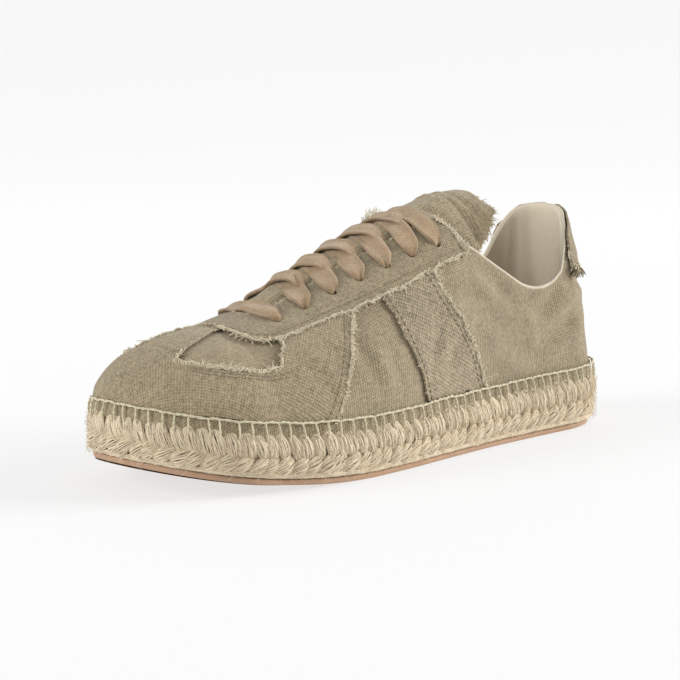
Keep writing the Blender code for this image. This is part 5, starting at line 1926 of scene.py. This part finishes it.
class ShoeColours(bpy.types.PropertyGroup):
    """Colours of the shoe's stuffs."""
    canvas: colour_property("Canvas", "Washed khaki canvas", (0.315, 0.253, 0.156))
    panel: colour_property("Side panel", "Canvas of the side panels", (0.315, 0.255, 0.164))
    lining: colour_property("Lining", "Pale twill inside", (0.70, 0.615, 0.48))
    binding: colour_property("Binding", "Pale tape on the collar's edge", (0.60, 0.53, 0.41))
    lace: colour_property("Lace", "Flat cotton lace", (0.37, 0.258, 0.148))
    jute: colour_property("Jute", "Bleached jute", (0.66, 0.555, 0.395))
    stitch: colour_property("Sole thread", "Cream thread of the sole stitch", (0.62, 0.56, 0.39))
    loose: colour_property("Loose ends", "Undyed yarn at the raw edges", (0.60, 0.525, 0.375))
    bleached: colour_property("Bleached ends", "Yarn of the palest tuft", (0.84, 0.80, 0.69))
    # the topstitching's dark colour also carries painted shade of the stitch holes
    seam: colour_property("Seam thread", "Thread of the topstitching", (0.23, 0.187, 0.12))
    rubber: colour_property("Rubber", "Tan rubber under the jute", (0.44, 0.28, 0.18))


class SoleSizes(bpy.types.PropertyGroup):
    """Sizes of the jute sole and its stitching."""
    lower_pitch: size_property("Lower pitch", "Way between bundles of the lower course, in mm", 6.6,
                               2.0, 20.0)
    upper_pitch: size_property("Upper pitch", "Way between bundles of the upper course, in mm", 5.7,
                               2.0, 20.0)
    upright_pitch: size_property("Upright pitch", "Way between uprights of the sole stitch, in mm",
                                 6.2, 2.0, 20.0)
    strand_yarns: count_property("Strand yarns", "Yarns in one bundle", 18, 1, 24)
    yarn_width: size_property("Yarn width", "Width of one jute yarn", 0.00092, 0.0002, 0.005, "LENGTH")
    cord_width: size_property("Cord width", "Width of the sole stitch's cord", 0.0011, 0.0002, 0.005,
                              "LENGTH")
    stray_fibres: count_property("Stray fibres", "Fibres standing off the jute", 3200)


class ClothSizes(bpy.types.PropertyGroup):
    """How the overlays' raw edges lie."""
    waver: size_property("Waver", "Raggedness of a raw edge, in mm", 0.8, 0.0, 3.0)
    curl: size_property("Curl", "Lift of a raw edge, in mm", 0.12, 0.0, 3.0)


class ThreadSizes(bpy.types.PropertyGroup):
    """Sizes of loose ends and topstitching."""
    ends_per_mm: size_property("Ends per mm", "Loose ends along a raw edge", 6.5, 0.0, 10.0)
    end_length: size_property("End length", "Usual length of a loose end, in mm", 1.1, 0.2, 8.0)
    end_width: size_property("End width", "Width of a loose yarn", 0.00044, 0.00005, 0.002, "LENGTH")
    knot_gap: size_property("Knot gap", "Way between ravelled knots, in mm", 1.7, 0.2, 50.0)
    curl_gap: size_property("Curl gap", "Way between longer curls, in mm", 34.0, 2.0, 200.0)
    seam_width: size_property("Seam thread", "Width of the topstitching's thread", 0.00045, 0.0001,
                              0.002, "LENGTH")
    stitch_pitch: size_property("Stitch pitch", "Way between topstitches, in mm", 2.9, 1.0, 8.0)


class StageLook(bpy.types.PropertyGroup):
    """Light and camera."""
    floor: colour_property("Floor", "Pale studio floor", (0.24, 0.24, 0.24))
    glow: size_property("Glow", "Light the paper gives of its own", 0.67, 0.0, 2.0)
    key: size_property("Key", "Strength of the key light", 3.1, 0.0, 20.0)
    softness: size_property("Softness", "Angle the lights fill, in degrees", 32.0, 1.0, 120.0)
    key_from: place_property("Key from", "Way to the key light", (-0.8, 0.52, 0.36))
    fill: size_property("Fill", "Strength of the fill light", 1.85, 0.0, 20.0)
    fill_from: place_property("Fill from", "Way to the fill light", (0.8, -0.3, 0.4))
    surround: size_property("Surround", "Strength of the white surround", 0.53, 0.0, 5.0)
    lens: size_property("Lens", "Focal length, in mm", 122.0, 20.0, 300.0)
    aim: place_property("Aim", "Point the camera looks at", (0.0077, -0.0077, 0.048))


def step_operator(build, group=None):
    """Makes the operator class of a building step, which reads one group of properties or none."""

    def execute(self, context):
        build(*([getattr(context.scene, group)] if group else []))
        return {"FINISHED"}

    name = build.__name__
    idname = name.split("_", 1)[1]
    return type("SHOE_OT_" + idname, (bpy.types.Operator,),
                {"__doc__": build.__doc__, "bl_idname": f"shoe.{idname}",
                 "bl_label": name.replace("_", " ").capitalize(), "execute": execute})


STEPS = [step_operator(*step) for step in (
    (make_finishes, "shoe_colours"),
    (build_outsole,),
    (build_jute, "shoe_sole"),
    (build_sole_stitch, "shoe_sole"),
    (build_insole,),
    (build_upper,),
    (build_binding,),
    (build_toe_overlay, "shoe_cloth"),
    (build_side_panels, "shoe_cloth"),
    (build_eyestay, "shoe_cloth"),
    (build_heel_patch, "shoe_cloth"),
    (build_tongue, "shoe_cloth"),
    (build_laces,),
    (build_frays, "shoe_threads"),
    (build_tufts, "shoe_threads"),
    (build_topstitch, "shoe_threads"),
    (build_stage, "shoe_stage"),
)]


class SHOE_PT_steps(bpy.types.Panel):
    """Lists the building steps in the 3D view's sidebar."""
    bl_label = "Espadrille trainer"
    bl_idname = "SHOE_PT_steps"
    bl_space_type = "VIEW_3D"
    bl_region_type = "UI"
    bl_category = "Shoe"

    def draw(self, context):
        for step in STEPS:
            self.layout.operator(step.bl_idname)


GROUPS = {"shoe_colours": ShoeColours, "shoe_sole": SoleSizes, "shoe_cloth": ClothSizes,
          "shoe_threads": ThreadSizes, "shoe_stage": StageLook}


def register():
    for group in GROUPS.values():
        bpy.utils.register_class(group)
    for name, group in GROUPS.items():
        setattr(bpy.types.Scene, name, bpy.props.PointerProperty(type=group))
    for step in STEPS:
        bpy.utils.register_class(step)
    bpy.utils.register_class(SHOE_PT_steps)


def unregister():
    bpy.utils.unregister_class(SHOE_PT_steps)
    for step in reversed(STEPS):
        bpy.utils.unregister_class(step)
    for name in GROUPS:
        delattr(bpy.types.Scene, name)
    for group in reversed(list(GROUPS.values())):
        bpy.utils.unregister_class(group)


def main():
    register()
    for step in STEPS:
        area, name = step.bl_idname.split(".")
        getattr(getattr(bpy.ops, area), name)()


if __name__ == "__main__":
    main()
